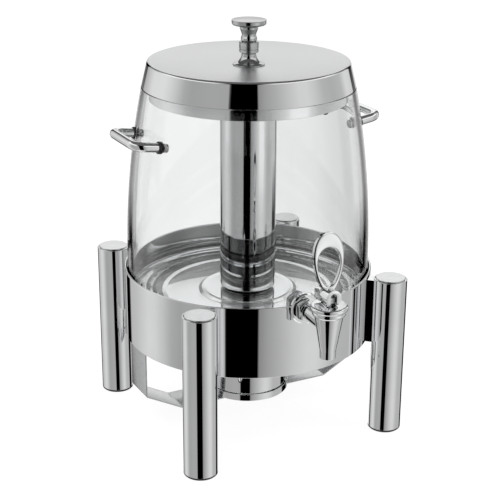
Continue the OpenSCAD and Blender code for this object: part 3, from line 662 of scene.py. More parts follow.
def mirror_steel():
    """Polished sheet: nearly clean, with faint wiping marks."""
    options = bpy.context.scene.dispenser_finish
    finish, nodes, links, shader, coords = new_finish("mirror_steel")
    shader.inputs["Metallic"].default_value = 1
    clouds = grain(nodes, links, coords, 22, 3)
    colour = options.mirror_colour
    links.new(shades(nodes, links, clouds, toned(colour, 0.97), toned(colour, 1.02)),
              shader.inputs["Base Color"])
    wiping = grain(nodes, links, coords, 60, 5, (1, 1, 4))
    rough = options.mirror_roughness
    links.new(between(nodes, links, wiping, rough * 0.7, rough * 1.6), shader.inputs["Roughness"])
    return finish


def lid_steel():
    """Polished steel whose top is brushed in circles, out to the shoulder."""
    options = bpy.context.scene.dispenser_finish
    finish, nodes, links, shader, coords = new_finish("lid_steel")
    shader.inputs["Metallic"].default_value = 1
    flat = nodes.new("ShaderNodeMapping")
    flat.inputs["Scale"].default_value = (1, 1, 0)
    links.new(coords, flat.inputs["Vector"])
    radius = nodes.new("ShaderNodeVectorMath")
    radius.operation = "LENGTH"
    links.new(flat.outputs["Vector"], radius.inputs[0])
    side = nodes.new("ShaderNodeMapRange")
    side.inputs["From Min"].default_value = LID_BRUSHED[0] * MM
    side.inputs["From Max"].default_value = LID_BRUSHED[1] * MM
    links.new(radius.outputs["Value"], side.inputs["Value"])
    share = side.outputs["Result"]
    links.new(shades(nodes, links, share, options.lid_colour, options.mirror_colour),
              shader.inputs["Base Color"])
    links.new(between(nodes, links, share, options.lid_roughness, options.mirror_roughness),
              shader.inputs["Roughness"])
    circles = nodes.new("ShaderNodeTexNoise")
    circles.noise_dimensions = "1D"
    circles.inputs["Scale"].default_value = 1800
    links.new(radius.outputs["Value"], circles.inputs["W"])
    relief(nodes, links, shader, circles.outputs["Fac"], 0.04, 0.00004)
    return finish


def cap_steel():
    """Nearly polished steel with a faint clouding."""
    colour = bpy.context.scene.dispenser_finish.cap_colour
    finish, nodes, links, shader, coords = new_finish("cap_steel")
    shader.inputs["Metallic"].default_value = 1
    clouds = grain(nodes, links, coords, 160, 4)
    links.new(shades(nodes, links, clouds, toned(colour, 0.95), toned(colour, 1.03)),
              shader.inputs["Base Color"])
    links.new(between(nodes, links, clouds, 0.04, 0.09), shader.inputs["Roughness"])
    return finish


def knob_shaded_steel():
    """Turned steel with faint rings from the tool; its colour is darker than the sheet's as painted shade for
    the dark surroundings that it reflects.
    """
    colour = bpy.context.scene.dispenser_finish.knob_shade_colour
    finish, nodes, links, shader, coords = new_finish("knob_shaded_steel")
    shader.inputs["Metallic"].default_value = 1
    rings = grain(nodes, links, coords, 400, 3, (0.1, 0.1, 1))
    links.new(shades(nodes, links, rings, toned(colour, 0.9), toned(colour, 1.08)),
              shader.inputs["Base Color"])
    links.new(between(nodes, links, rings, 0.02, 0.06), shader.inputs["Roughness"])
    return finish


def satin_steel():
    """Brushed steel with fine lines and a soft sheen."""
    options = bpy.context.scene.dispenser_finish
    finish, nodes, links, shader, coords = new_finish("satin_steel")
    shader.inputs["Metallic"].default_value = 1
    clouds = grain(nodes, links, coords, 140, 4)
    colour = options.satin_colour
    links.new(shades(nodes, links, clouds, toned(colour, 0.95), toned(colour, 1.04)),
              shader.inputs["Base Color"])
    lines = grain(nodes, links, coords, 2200, 3, (1, 0.1, 0.5))
    rough = options.satin_roughness
    links.new(between(nodes, links, lines, rough * 0.8, rough * 1.25), shader.inputs["Roughness"])
    relief(nodes, links, shader, lines, 0.08, 0.00006)
    return finish


def clear_plastic():
    """Clear moulded plastic."""
    options = bpy.context.scene.dispenser_finish
    finish, nodes, links, shader, coords = new_finish("clear_plastic")
    shader.inputs["Base Color"].default_value = (*options.plastic_colour, 1)
    shader.inputs["Transmission Weight"].default_value = 1
    shader.inputs["IOR"].default_value = options.plastic_ior
    haze = grain(nodes, links, coords, 30, 3)
    links.new(between(nodes, links, haze, 0, 0.012), shader.inputs["Roughness"])
    return finish


def silicone():
    """Soft pale rubber."""
    colour = bpy.context.scene.dispenser_finish.silicone_colour
    finish, nodes, links, shader, coords = new_finish("silicone")
    clouds = grain(nodes, links, coords, 120, 3)
    links.new(shades(nodes, links, clouds, toned(colour, 0.92), colour), shader.inputs["Base Color"])
    links.new(between(nodes, links, clouds, 0.42, 0.55), shader.inputs["Roughness"])
    return finish


def black_plastic():
    """Moulded plastic with a fine grain."""
    colour = bpy.context.scene.dispenser_finish.black_colour
    finish, nodes, links, shader, coords = new_finish("black_plastic")
    clouds = grain(nodes, links, coords, 260, 4)
    links.new(shades(nodes, links, clouds, colour, toned(colour, 1.8)), shader.inputs["Base Color"])
    links.new(between(nodes, links, clouds, 0.4, 0.6), shader.inputs["Roughness"])
    relief(nodes, links, shader, clouds, 0.15, 0.0002)
    return finish


FINISHES = {
    "mirror_steel": mirror_steel, "satin_steel": satin_steel, "clear_plastic": clear_plastic,
    "silicone": silicone, "black_plastic": black_plastic, "lid_steel": lid_steel,
    "cap_steel": cap_steel, "knob_shaded_steel": knob_shaded_steel,
}


def finish_of(name):
    """A material, made the first time that it is asked for."""
    return bpy.data.materials.get(name + "_finish") or FINISHES[name]()


def fit(piece, body, slot, *nodes, finish=None):
    """Gives a piece its finish, and ties it to its body and the nodes that it stands for.

    The finish is the slot's own unless another is named.
    """
    piece.data.materials.clear()
    piece.data.materials.append(finish_of(finish or slot))
    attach(piece, body)
    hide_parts(*nodes)


def dress(slot, *nodes):
    """Gives nodes that stay as they are their finish."""
    for node in nodes:
        for holder in NODES[node].material_slots:
            holder.material = finish_of(slot)


class DISPENSER_OT_ring(bpy.types.Operator):
    """Model the polished ring and the pan inside it"""
    bl_idname = "dispenser.ring"
    bl_label = "Ring and pan"

    def execute(self, context):
        band = turned("ring_band", rounded([
            (BAND_IN_R, BAND_Z, 0.25), (BAND_R, BAND_Z, 0.5), (BAND_R, NOTCH_Z),
            (BAND_R, BAND_TOP, 1.15), (HEM_R, BAND_TOP, 1.15), (HEM_R, HEM_Z, 0.25),
            (BAND_IN_R, HEM_Z, 0.25), (BAND_IN_R, NOTCH_Z)]), WIDE_STEPS)
        notch = place(post(NOTCH_R, NOTCH_DEPTH), spoke(TAP_TURN, TAP_Z) @ shift(0, 0, BARREL_R))
        combine(band, notch, "DIFFERENCE")
        mouth = brick((-NOTCH_R, NOTCH_R), (-BAND_R - CUT_PAST, -BARREL_R), (TAP_Z, LEG_TOP))
        combine(band, place(mouth, turn("Z", TAP_TURN)), "DIFFERENCE")
        fit(band, "stand", "mirror_steel", "base_band")
        under, over = [(0, PAN_MIDDLE_Z - PAN_T)], [(0, PAN_MIDDLE_Z)]
        for (r, top), high, low in zip(PAN_BEADS, (PAN_MIDDLE_Z, PAN_STEP_Z), (PAN_STEP_Z, PAN_Z)):
            under += [(r - 0.5, high - PAN_T, 3), (r + 2.5, low - PAN_T, 3)]
            over += [(r - 5, high, 3), (r, top, 1.2), (r + 3.5, low, 2)]
        skirt = [(PAN_R - PAN_T, PAN_Z - PAN_T, 1.5), (PAN_R - PAN_T, PAN_SKIRT_Z, 0.3),
                 (PAN_R, PAN_SKIRT_Z, 0.3), (PAN_R, PAN_Z, 2.5)]
        pan = turned("ring_pan", rounded(under + skirt + over[::-1], closed=False), WIDE_STEPS)
        fit(pan, "stand", "mirror_steel", "base_pan")
        return {"FINISHED"}


class DISPENSER_OT_legs(bpy.types.Operator):
    """Model one leg with its cap and foot, and copy it to the four corners"""
    bl_idname = "dispenser.legs"
    bl_label = "Legs"

    def execute(self, context):
        tube = turned("leg_tube", rounded([
            (LEG_IN_R, FOOT_H, 0.2), (LEG_R, FOOT_H, 0.3), (LEG_R, LEG_RIM, 0.7),
            (LEG_IN_R, LEG_RIM, 0.5)]), SLIM_STEPS)
        cap = turned("leg_cap", rounded([
            (0, LEG_TOP - PLUG_H), (PLUG_R, LEG_TOP - PLUG_H, 0.3), (PLUG_R, CAP_GROOVE_Z, 0.1),
            (CAP_GROOVE_R, CAP_GROOVE_Z, 0.1), (CAP_R, CAP_EDGE_Z, 0.2), (CAP_R, CAP_TOP, 0.5),
            (0, CAP_TOP)], False), SLIM_STEPS)
        foot = turned("leg_foot", rounded([
            (0, 0), (LEG_R - FOOT_SLOPE, 0, 1.2), (LEG_R, FOOT_SLOPE, 0.8), (LEG_R, FOOT_H, 0.15),
            (PLUG_R, FOOT_H, 0.1), (PLUG_R, PLUG_H, 0.4), (0, PLUG_H)], False), SLIM_STEPS)
        places = [at_leg(angle) for angle in LEGS.values()]
        for kind, slot, finish, model in (
                ("tube", "mirror_steel", "mirror_steel", tube), ("cap", "satin_steel", "cap_steel", cap),
                ("foot", "black_plastic", "black_plastic", foot)):
            for corner, piece in zip(LEGS, copies(model, places)):
                named(piece, f"leg_{kind}_piece_{corner}")
                fit(piece, "stand", slot, f"leg_{kind}_{corner}", finish=finish)
        dress("satin_steel", "leg_inserts")
        dress("mirror_steel", *[f"leg_spacer_{corner}" for corner in LEGS])
        return {"FINISHED"}


class DISPENSER_OT_bolts(bpy.types.Operator):
    """Model one leg screw with its socket, and copy it along the ring"""
    bl_idname = "dispenser.bolts"
    bl_label = "Leg screws"

    def execute(self, context):
        face, seat = BOLT_HEAD
        screw = turned("leg_screw", rounded([
            (0, face), (BOLT_HEAD_R, face, 1.1), (BOLT_HEAD_R, seat, 0.15), (BOLT_R, seat, 0.1),
            (BOLT_R, BOLT_END, 0.6), (0, BOLT_END)], False), SMALL_STEPS)
        socket = six_sided(SOCKET_R, SOCKET_MIDDLE - SOCKET_DEPTH / 2, SOCKET_MIDDLE + SOCKET_DEPTH / 2)
        combine(screw, socket, "DIFFERENCE")
        places = [spoke(angle, z) for angle in LEGS.values() for z in BOLT_HEIGHTS]
        fit(join("leg_screws", copies(screw, places)), "stand", "satin_steel", "leg_bolts")
        return {"FINISHED"}


class DISPENSER_OT_strap(bpy.types.Operator):
    """Model the bent strap, the saucer on it and the cup"""
    bl_idname = "dispenser.strap"
    bl_label = "Strap and cup"

    def execute(self, context):
        path = rounded([
            (-STRAP_X, STRAP_TOP), (-STRAP_X, STRAP_BEND_Z, 3), (-STRAP_FLAT_X, STRAP_Z, 4),
            (STRAP_FLAT_X, STRAP_Z, 4), (STRAP_X, STRAP_BEND_Z, 3), (STRAP_X, STRAP_TOP)], False)
        draw([(x, -STRAP_HALF, z) for x, z in path])
        pull(0, 2 * STRAP_HALF, 0)
        strap = close_up("strap")
        bpy.ops.object.modifier_add(type="SOLIDIFY")
        wall = strap.modifiers[-1]
        wall.thickness = STRAP_T * MM
        wall.offset = 0
        bpy.ops.object.modifier_apply(modifier=wall.name)
        soften(strap, STRAP_EDGE * MM, 3, 40)
        fit(strap, "stand", "satin_steel", "strap_bracket")
        inside, floor = SAUCER_R - SAUCER_T, SAUCER_Z + SAUCER_T
        saucer = turned("cup_saucer_piece", rounded([
            (0, SAUCER_Z), (inside, SAUCER_Z, 0.8), (SAUCER_R, floor, 0.5), (SAUCER_R, SAUCER_TOP, 0.4),
            (inside, SAUCER_TOP, 0.4), (inside, floor, 0.4), (0, floor)], False))
        fit(saucer, "stand", "mirror_steel", "cup_saucer")
        inside, floor = CUP_R - CUP_T, CUP_Z + CUP_T
        cup = turned("fuel_cup_piece", rounded([
            (0, CUP_Z), (CUP_R, CUP_Z, CUP_ROUND), (CUP_R, CUP_TOP, 0.35), (inside, CUP_TOP, 0.35),
            (inside, floor, CUP_ROUND - CUP_T), (0, floor)], False))
        fit(cup, "cup", "mirror_steel", "fuel_cup")
        return {"FINISHED"}


def wall_line(r, steps=28):
    """The barrel's wall, from the straight part up to the rim."""
    top = math.degrees(math.asin((RIM_Z - CURVE_Z) / r))
    return arc(BARREL_R - CURVE_R, CURVE_Z, r, 0, top, steps)


class DISPENSER_OT_barrel(bpy.types.Operator):
    """Model the clear barrel"""
    bl_idname = "dispenser.barrel"
    bl_label = "Barrel"

    def execute(self, context):
        outer = wall_line(CURVE_R)
        inner = wall_line(CURVE_R - WALL)
        rim = rounded([outer[-2], (*outer[-1], RIM_ROUND), (*inner[-1], RIM_ROUND), inner[-2]], False)
        foot_r = BARREL_R - BARREL_ROUND
        under = arc(foot_r, PAN_Z + BARREL_ROUND, BARREL_ROUND, -90, 0, 14)
        inside = arc(BARREL_R - WALL - FLOOR_ROUND, FLOOR_TOP + FLOOR_ROUND, FLOOR_ROUND, 0, -90, 12)
        floor = rounded([
            (0, FLOOR_TOP), (0, FLOOR_UNDER), (LEDGE_R, FLOOR_UNDER, 1), (LEDGE_FOOT_R, PAN_Z, 0.6),
            (foot_r, PAN_Z)], False)
        outline = under + outer[:-2] + rim + inner[-3::-1] + inside + floor
        barrel = turned("barrel_piece", outline, WIDE_STEPS)
        hole = post(TAP_HOLE_R, TAP_HOLE_DEPTH)
        combine(barrel, place(hole, spoke(TAP_TURN, TAP_Z) @ shift(0, 0, SHANK_START)), "DIFFERENCE")
        low, high = SCREW_HOLE_SPAN
        for end in handle_ends():
            hole = post(SCREW_R + FIT_GAP, high - low)
            combine(barrel, place(hole, end @ shift(0, 0, low)), "DIFFERENCE")
        # Clear plastic lets the lamps' light through
        barrel.visible_shadow = False
        fit(barrel, "container", "clear_plastic", "barrel", "barrel_floor")
        return {"FINISHED"}


class DISPENSER_OT_handles(bpy.types.Operator):
    """Bend one handle, model its collar and screw, and copy them to both sides"""
    bl_idname = "dispenser.handles"
    bl_label = "Handles"

    def execute(self, context):
        handle = soften(self.bend_rod(), ROD_EDGE * MM, 2, 60)
        for name, piece in zip(("left", "right"), copies(handle, [at_handle(-1), at_handle(1)])):
            named(piece, f"handle_rod_{name}")
            fit(piece, "container", "mirror_steel", f"handle_{name}")
        start, end = COLLAR_SPAN
        collar = turned("collar", rounded([
            (0, start), (COLLAR_R, start), (COLLAR_R, end, 0.7), (0, end)], False), SMALL_STEPS)
        collars = join("handle_collar_rings", copies(collar, handle_ends()))
        barrel = turned("barrel_tool", [(0, HANDLE_Z - 50), (BARREL_R + FIT_GAP, CURVE_Z - 10)]
                        + [(r + FIT_GAP, z) for r, z in wall_line(CURVE_R)] + [(0, RIM_Z)], WIDE_STEPS)
        combine(collars, barrel, "DIFFERENCE")
        fit(collars, "container", "black_plastic", "handle_collars")
        seat = -WASHER_IN
        screw = turned("handle_screw", rounded([
            (0, seat - SCREW_HEAD_H), (SCREW_HEAD_R, seat - SCREW_HEAD_H, 1.6), (SCREW_HEAD_R, seat, 0.2),
            (SCREW_R, seat, 0.1), (SCREW_R, SCREW_END, 0.1), (0, SCREW_END)], False), SMALL_STEPS)
        screws = join("handle_cap_screws", copies(screw, handle_ends()))
        fit(screws, "container", "satin_steel", "handle_screws")
        dress("silicone", "handle_washers")
        return {"FINISHED"}

    def bend_rod(self):
        """A rod that runs out from the wall, along it and back."""
        simple(bpy.ops.mesh.primitive_circle_add, vertices=ROD_SIDES, radius=ROD_R * MM,
               location=(ROD_START * MM, HANDLE_HALF * MM, 0), rotation=(0, math.pi / 2, 0))
        bpy.ops.object.mode_set(mode="EDIT")
        bpy.ops.mesh.select_all(action="SELECT")
        out, side = ROD_OUT - ROD_BEND, HANDLE_HALF - ROD_BEND
        pull(out - ROD_START, 0, 0)
        for middle, step in ((side, (0, -2 * side, 0)), (-side, (ROD_START - out, 0, 0))):
            bpy.ops.mesh.spin(steps=ROD_STEPS, angle=math.pi / 2, center=(out * MM, middle * MM, 0),
                              axis=(0, 0, 1))
            pull(*step)
        bpy.ops.mesh.select_all(action="SELECT")
        bpy.ops.mesh.fill_holes(sides=0)
        return close_up("handle")


def hex_nut(name, low, high, hole):
    """A six-sided nut along Z with turned corners and a hole."""
    nut = named(six_sided(NUT_ACROSS / 2 / math.cos(math.pi / 6), low, high), name)
    half = [(hole, high + 1), (NUT_FACE_R, high + NUT_FACE_RISE), (NUT_CORNER_R, high - NUT_CORNER_DROP)]
    other = [(r, low + high - z) for r, z in reversed(half)]
    combine(nut, turned("crown", other[-1:] + half + other, 72), "INTERSECT")
    return soften(nut, NUT_EDGE * MM, 2, 25)


class DISPENSER_OT_tap(bpy.types.Operator):
    """Model the spout, its bonnet, washer and nuts"""
    bl_idname = "dispenser.tap"
    bl_label = "Tap"

    def execute(self, context):
        axis = spoke(TAP_TURN, TAP_Z)
        body = place(turned("tap_spout", rounded([
            (OUTLET_R, SPOUT_TIP, 0.5), (SPOUT_TIP_R, SPOUT_TIP, 0.9), (SPOUT_BELL_R, SPOUT_BELL_Z, 8),
            (BODY_R, BODY_TOP, 0.3), (NECK_R, BODY_TOP, 0.1), (NECK_R, NECK_TOP, 0.2),
            (NECK_IN_R, NECK_TOP, 0.2), (NECK_IN_R, BODY_TOP, 0.8), (SPOUT_IN_R, OUTLET_TOP, 0.3),
            (OUTLET_R, OUTLET_TOP, 0.3)]), SLIM_STEPS), at_spout())
        shank = place(turned("shank", rounded([
            (0, SHANK_START), (SHANK_R, SHANK_START, 0.8), (SHANK_R, NUT_END, 0.1),
            (SHANK_STUB_R, NUT_END, 0.3), (SHANK_STUB_R, SHANK_END, 0.1), (0, SHANK_END)],
            False), 64), axis)
        combine(body, shank, "UNION")
        bore = post(SHANK_BORE_R, SPOUT_Y - SHANK_START)
        combine(body, place(bore, axis @ shift(0, 0, SHANK_START - CUT_PAST)), "DIFFERENCE")
        bpy.ops.object.shade_smooth_by_angle(angle=math.radians(SMOOTH))
        fit(body, "container", "mirror_steel", "tap_body")
        lower, upper = [r - BONNET_BEAD for r in BONNET_BEADS_R]
        bonnet = place(turned("tap_cap", [(BONNET_IN_R, BODY_TOP)]
                              + arc(lower, BODY_TOP + BONNET_BEAD, BONNET_BEAD, -90, 90, 16)
                              + arc(upper, BODY_TOP + 3 * BONNET_BEAD, BONNET_BEAD, -90, 90, 16)
                              + rounded([(BONNET_TOP_R, BONNET_TOP), (STEM_HOLE_R, BONNET_TOP, 0.4),
                                         (STEM_HOLE_R, BONNET_ROOF), (BONNET_IN_R, BONNET_ROOF),
                                         (BONNET_IN_R, BODY_TOP)], False), SLIM_STEPS), at_spout())
        fit(bonnet, "container", "mirror_steel", "tap_bonnet")
        washer = place(turned("tap_flange", rounded([
            (TAP_HOLE_R, FLANGE_START, 0.1), (FLANGE_R, FLANGE_START, 0.5),
            (FLANGE_R, NUT_START - 1.7, 0.4), (FLANGE_R - 0.6, NUT_START - 1.1, 0.4),
            (FLANGE_R - 1.6, NUT_START, 0.6), (TAP_HOLE_R, NUT_START, 0.1)]), SLIM_STEPS), axis)
        fit(washer, "container", "mirror_steel", "tap_washer")
        nut = place(hex_nut("tap_nut", NUT_START, NUT_END, TAP_HOLE_R), axis)
        fit(nut, "container", "mirror_steel", "tap_hex_nut")
        back_nut = place(hex_nut("tap_inner_nut", *BACK_NUT, TAP_HOLE_R), axis)
        fit(back_nut, "container", "satin_steel", "tap_back_nut")
        dress("silicone", "tap_gasket_outer", "tap_gasket_inner", "seat_cup")
        dress("satin_steel", "valve_stem")
        return {"FINISHED"}


def egg(half, middle, tall, narrow=0.22, steps=96):
    """An egg outline of (x, z), narrower towards its foot."""
    turns = [2 * math.pi * i / steps for i in range(steps + 1)]
    return [(half * math.sin(t) * (1 + narrow * math.cos(t)), middle + tall * math.cos(t)) for t in turns]


def flat_loop(name, outer, hole, side, half):
    """A loop between two egg outlines.

    It has a flat rim of half width side, and a wide bevel round each face.
    """
    out = [((outer[0] - m, outer[1], outer[2] - m), side + (half - side) * rise) for m, rise in LOOP_BEVEL]
    into = [((hole[0] + m, hole[1], hole[2] + m), side + (half - side) * rise)
            for m, rise in LOOP_HOLE_BEVEL]
    face = out + into
    rings = [(line, -depth) for line, depth in face] + [(line, depth) for line, depth in reversed(face)]
    draw([(x, -side, z) for x, z in egg(*outer)])
    bpy.ops.mesh.remove_doubles(threshold=MERGE)
    for (old, back), (new, depth) in zip(rings, rings[1:] + rings[:1]):
        pull(0, 0, 0)
        bpy.ops.transform.resize(value=(new[0] / old[0], 1, new[2] / old[2]),
                                 center_override=(0, 0, old[1] * MM))
        bpy.ops.transform.translate(value=(0, (depth - back) * MM, (new[1] - old[1]) * MM))
    return close_up(name, 40)


def cam_point(angle):
    """A point of the cam under the lever, as (y, z) from the pin."""
    a = math.radians(angle)
    h = CAM_H + CAM_LIFT * a
    return (-h * math.sin(a) - CAM_LIFT * math.cos(a), -h * math.cos(a) + CAM_LIFT * math.sin(a))


class DISPENSER_OT_lever(bpy.types.Operator):
    """Model the lever's loop, its block with the cam, and the pin"""
    bl_idname = "dispenser.lever"
    bl_label = "Lever"

    def execute(self, context):
        shape = context.scene.dispenser_shape
        loop = flat_loop("loop", LOOP_OUT, LOOP_HOLE, shape.loop_side / MM, LOOP_HALF)
        place(loop, turn("X", LOOP_LEAN) @ shift(0, LOOP_BACK, 0))
        combine(loop, soften(self.make_block(), shape.block_round), "UNION")
        hole = place(post(PIN_HOLE_R, 2 * PIN_HOLE_HALF), shift(-PIN_HOLE_HALF, 0, 0) @ turn("Y", 90))
        combine(loop, hole, "DIFFERENCE")
        bpy.ops.object.shade_smooth_by_angle(angle=math.radians(SHARP))
        lever = place(named(loop, "lever_loop"), at_spout(PIN_Z))
        fit(lever, "lever", "mirror_steel", "tap_lever")
        pin = turned("lever_pivot", rounded([
            (0, -PIN_HALF), (PIN_R, -PIN_HALF, 0.6), (PIN_R, PIN_HALF, 0.6), (0, PIN_HALF)], False), 32)
        place(pin, at_spout(PIN_Z) @ turn("Y", 90))
        fit(pin, "lever", "satin_steel", "lever_pin")
        return {"FINISHED"}

    def make_block(self):
        """The block under the loop, with a round crown, a cam and a slot for the stem."""
        cam = [cam_point(CAM_END * i / CAM_STEPS) for i in range(CAM_STEPS + 1)]
        side = slab("side", [
            (BLOCK_BACK, BLOCK_BACK_TOP), (BLOCK_BACK, BLOCK_UNDER), (CAM_BACK, BLOCK_UNDER),
            (CAM_BACK, -CAM_H)] + cam + [(cam[-1][0], BLOCK_TOP), (0, BLOCK_TOP),
                                         (BLOCK_BACK, BLOCK_BACK_TOP)], 2 * BLOCK_HALF)
        place(side, Matrix(((0, 0, 1, -BLOCK_HALF * MM), (1, 0, 0, 0), (0, 1, 0, 0), (0, 0, 0, 1))))
        lie = turn("X", 90)
        past_back = BLOCK_BACK + CUT_PAST
        block = place(post(BLOCK_HALF, TOOL_REACH - BLOCK_FRONT), shift(0, TOOL_REACH, CROWN_Z) @ lie)
        cheeks = brick((-CHEEK_HALF, CHEEK_HALF), (BLOCK_FRONT, past_back), (CHEEK_UNDER, CROWN_Z))
        combine(block, cheeks, "UNION")
        shoulders = brick((-BLOCK_HALF, BLOCK_HALF), (BLOCK_SHOULDER, past_back), (BLOCK_UNDER, TOOL_REACH))
        combine(block, shoulders, "UNION")
        combine(block, side, "INTERSECT")
        slot = brick((-SLOT_HALF, SLOT_HALF), (-TOOL_REACH, SLOT_BACK), (-TOOL_REACH, SLOT_TOP))
        combine(block, slot, "DIFFERENCE")
        arch = place(post(SLOT_HALF, TOOL_REACH + SLOT_BACK), shift(0, SLOT_BACK, SLOT_TOP) @ lie)
        return combine(block, arch, "DIFFERENCE")


class DISPENSER_OT_tube(bpy.types.Operator):
    """Model the ice tube and its welded bottom"""
    bl_idname = "dispenser.tube"
    bl_label = "Ice tube"

    def execute(self, context):
        tube = turned("ice_tube_wall", rounded([
            (TUBE_IN_R, TUBE_WELD, 0.1), (TUBE_R, TUBE_WELD, 0.15), (TUBE_R, TUBE_TOP, 0.55),
            (TUBE_IN_R, TUBE_TOP, 0.55)]))
        fit(tube, "tube", "mirror_steel", "ice_tube")
        inside = FLOOR_TOP + TUBE_BASE_T
        base = turned("ice_tube_cup", rounded([
            (0, FLOOR_TOP), (TUBE_R, FLOOR_TOP, TUBE_ROUND), (TUBE_R, TUBE_WELD, 0.15),
            (TUBE_IN_R, TUBE_WELD, 0.1), (TUBE_IN_R, inside, TUBE_ROUND - TUBE_BASE_T),
            (0, inside)], False))
        fit(base, "tube", "mirror_steel", "ice_tube_base")
        return {"FINISHED"}


def lid_top(drop, steps=24):
    """The dished top of the lid, from its flat middle to the shoulder."""
    run = SHOULDER[0] - LID_FLAT_R
    shares = [i / steps for i in range(steps + 1)]
    return [(LID_FLAT_R + run * share, LID_MID + LID_DISH * share ** 2 - drop) for share in shares]


class DISPENSER_OT_lid(bpy.types.Operator):
    """Model the lid, its skirt and the ring that guides the ice tube"""
    bl_idname = "dispenser.lid"
    bl_label = "Lid"

    def execute(self, context):
        hem_r, hem_z = SKIRT_R + FIT_GAP, RIM_Z + LID_T
        side_r, side_z = LID_SIDE
        edge = rounded([
            (side_r, side_z), (LID_RIM_R, RIM_Z, 0.45), (hem_r, RIM_Z, 0.15), (hem_r, hem_z, 0.15),
            (LID_RIM_IN_R, hem_z, 0.3), (side_r - LID_T, side_z)], False)[1:-1]
        shell = turned("lid_cover", [(STUD_HOLE_R, LID_MID)] + lid_top(0)
                       + arc(*SHOULDER, SHOULDER_R, 90, LID_LEAN, 10)[1:] + edge
                       + arc(*SHOULDER, SHOULDER_R - LID_T, LID_LEAN, 90, 10) + lid_top(LID_T)[-2::-1]
                       + [(STUD_HOLE_R, LID_MID - LID_T), (STUD_HOLE_R, LID_MID)], WIDE_STEPS)
        fit(shell, "lid", "mirror_steel", "lid_shell", finish="lid_steel")
        low, high, inside = RIM_Z - SKIRT_DROP, RIM_Z + SKIRT_RISE, SKIRT_R - LID_T
        skirt = turned("lid_collar", rounded([
            (inside, low, 0.35), (SKIRT_R, low, 0.35), (SKIRT_R, high, 0.2), (inside, high, 0.2)]),
            WIDE_STEPS)
        fit(skirt, "lid", "mirror_steel", "lid_skirt")
        roof, inside = LID_MID - LID_T, GUIDE_R - LID_T
        guide = turned("tube_guide_ring", rounded([
            (inside, GUIDE_Z, 0.4), (GUIDE_R, GUIDE_Z, 0.4), (GUIDE_R, roof, 0.1), (inside, roof, 0.1)]))
        fit(guide, "lid", "satin_steel", "tube_guide")
        return {"FINISHED"}


class DISPENSER_OT_knob(bpy.types.Operator):
    """Model the turned knob, and give its stud and nut their finish"""
    bl_idname = "dispenser.knob"
    bl_label = "Knob"

    def execute(self, context):
        lip_r = KNOB_FOOT_R - KNOB_LIP
        base = turned("knob_foot", [(STUD_HOLE_R, LID_MID), (lip_r, LID_MID)]
                      + arc(lip_r, LID_MID + KNOB_LIP, KNOB_LIP, -90, 65, 8)
                      + arc(KNOB_NECK_R + KNOB_HOLLOW_R, KNOB_COLLAR_Z, KNOB_HOLLOW_R, 245, 180, 14)
                      + [(STUD_HOLE_R, KNOB_COLLAR_Z), (STUD_HOLE_R, LID_MID)], SLIM_STEPS)
        # The knob's pieces take the knob finish, whose darker colour is painted shade
        fit(base, "lid", "mirror_steel", "knob_base", finish="knob_shaded_steel")
        groove_r = KNOB_COLLAR_R - KNOB_GROOVE
        collar = turned("knob_ring", rounded([
            (STUD_HOLE_R, KNOB_COLLAR_Z, 0.1), (KNOB_NECK_R, KNOB_COLLAR_Z, 0.1),
            (KNOB_COLLAR_R, KNOB_COLLAR_Z + 2, 0.9), (KNOB_COLLAR_R, KNOB_GROOVE_Z - KNOB_GROOVE, 0.2),
            (groove_r, KNOB_GROOVE_Z, 0.15), (KNOB_COLLAR_R, KNOB_GROOVE_Z + KNOB_GROOVE, 0.2),
            (KNOB_COLLAR_R, KNOB_TOP_Z - KNOB_GROOVE, 0.3), (groove_r, KNOB_TOP_Z, 0.2),
            (STUD_HOLE_R, KNOB_TOP_Z, 0.1)]), SLIM_STEPS)
        fit(collar, "lid", "mirror_steel", "knob_collar", finish="knob_shaded_steel")
        z, cap = KNOB_TOP_Z, KNOB_CAP_Z
        top = turned("knob_cap", rounded([
            (0, z + STUD_HOLE_END), (STUD_HOLE_R, z + STUD_HOLE_END, 0.1), (STUD_HOLE_R, z, 0.1),
            (KNOB_NECK_R, z, 0.1), (KNOB_WAIST_R, z + 1.6, 0.9), (KNOB_WAIST_R, z + 3.6, 1.2),
            (KNOB_NECK_R, z + 6.4, 2), (KNOB_NECK_R, z + 8.4, 2), (KNOB_BEAD_R, cap - 4, 1.5),
            (KNOB_BEAD_R, cap - 2, 0.9), (KNOB_NECK_R, cap, 0.1), (KNOB_CAP_R, cap, 2.4),
            (KNOB_CAP_R, KNOB_END - 0.8, 0.5), (KNOB_CAP_R - 0.7, KNOB_END - 0.54)], False)
            + arc(0, KNOB_END - KNOB_DOME_R, KNOB_DOME_R, 90 - KNOB_DOME_HALF, 90, 8), SLIM_STEPS)
        fit(top, "lid", "mirror_steel", "lid_knob", finish="knob_shaded_steel")
        dress("satin_steel", "knob_stud", "knob_nut")
        return {"FINISHED"}


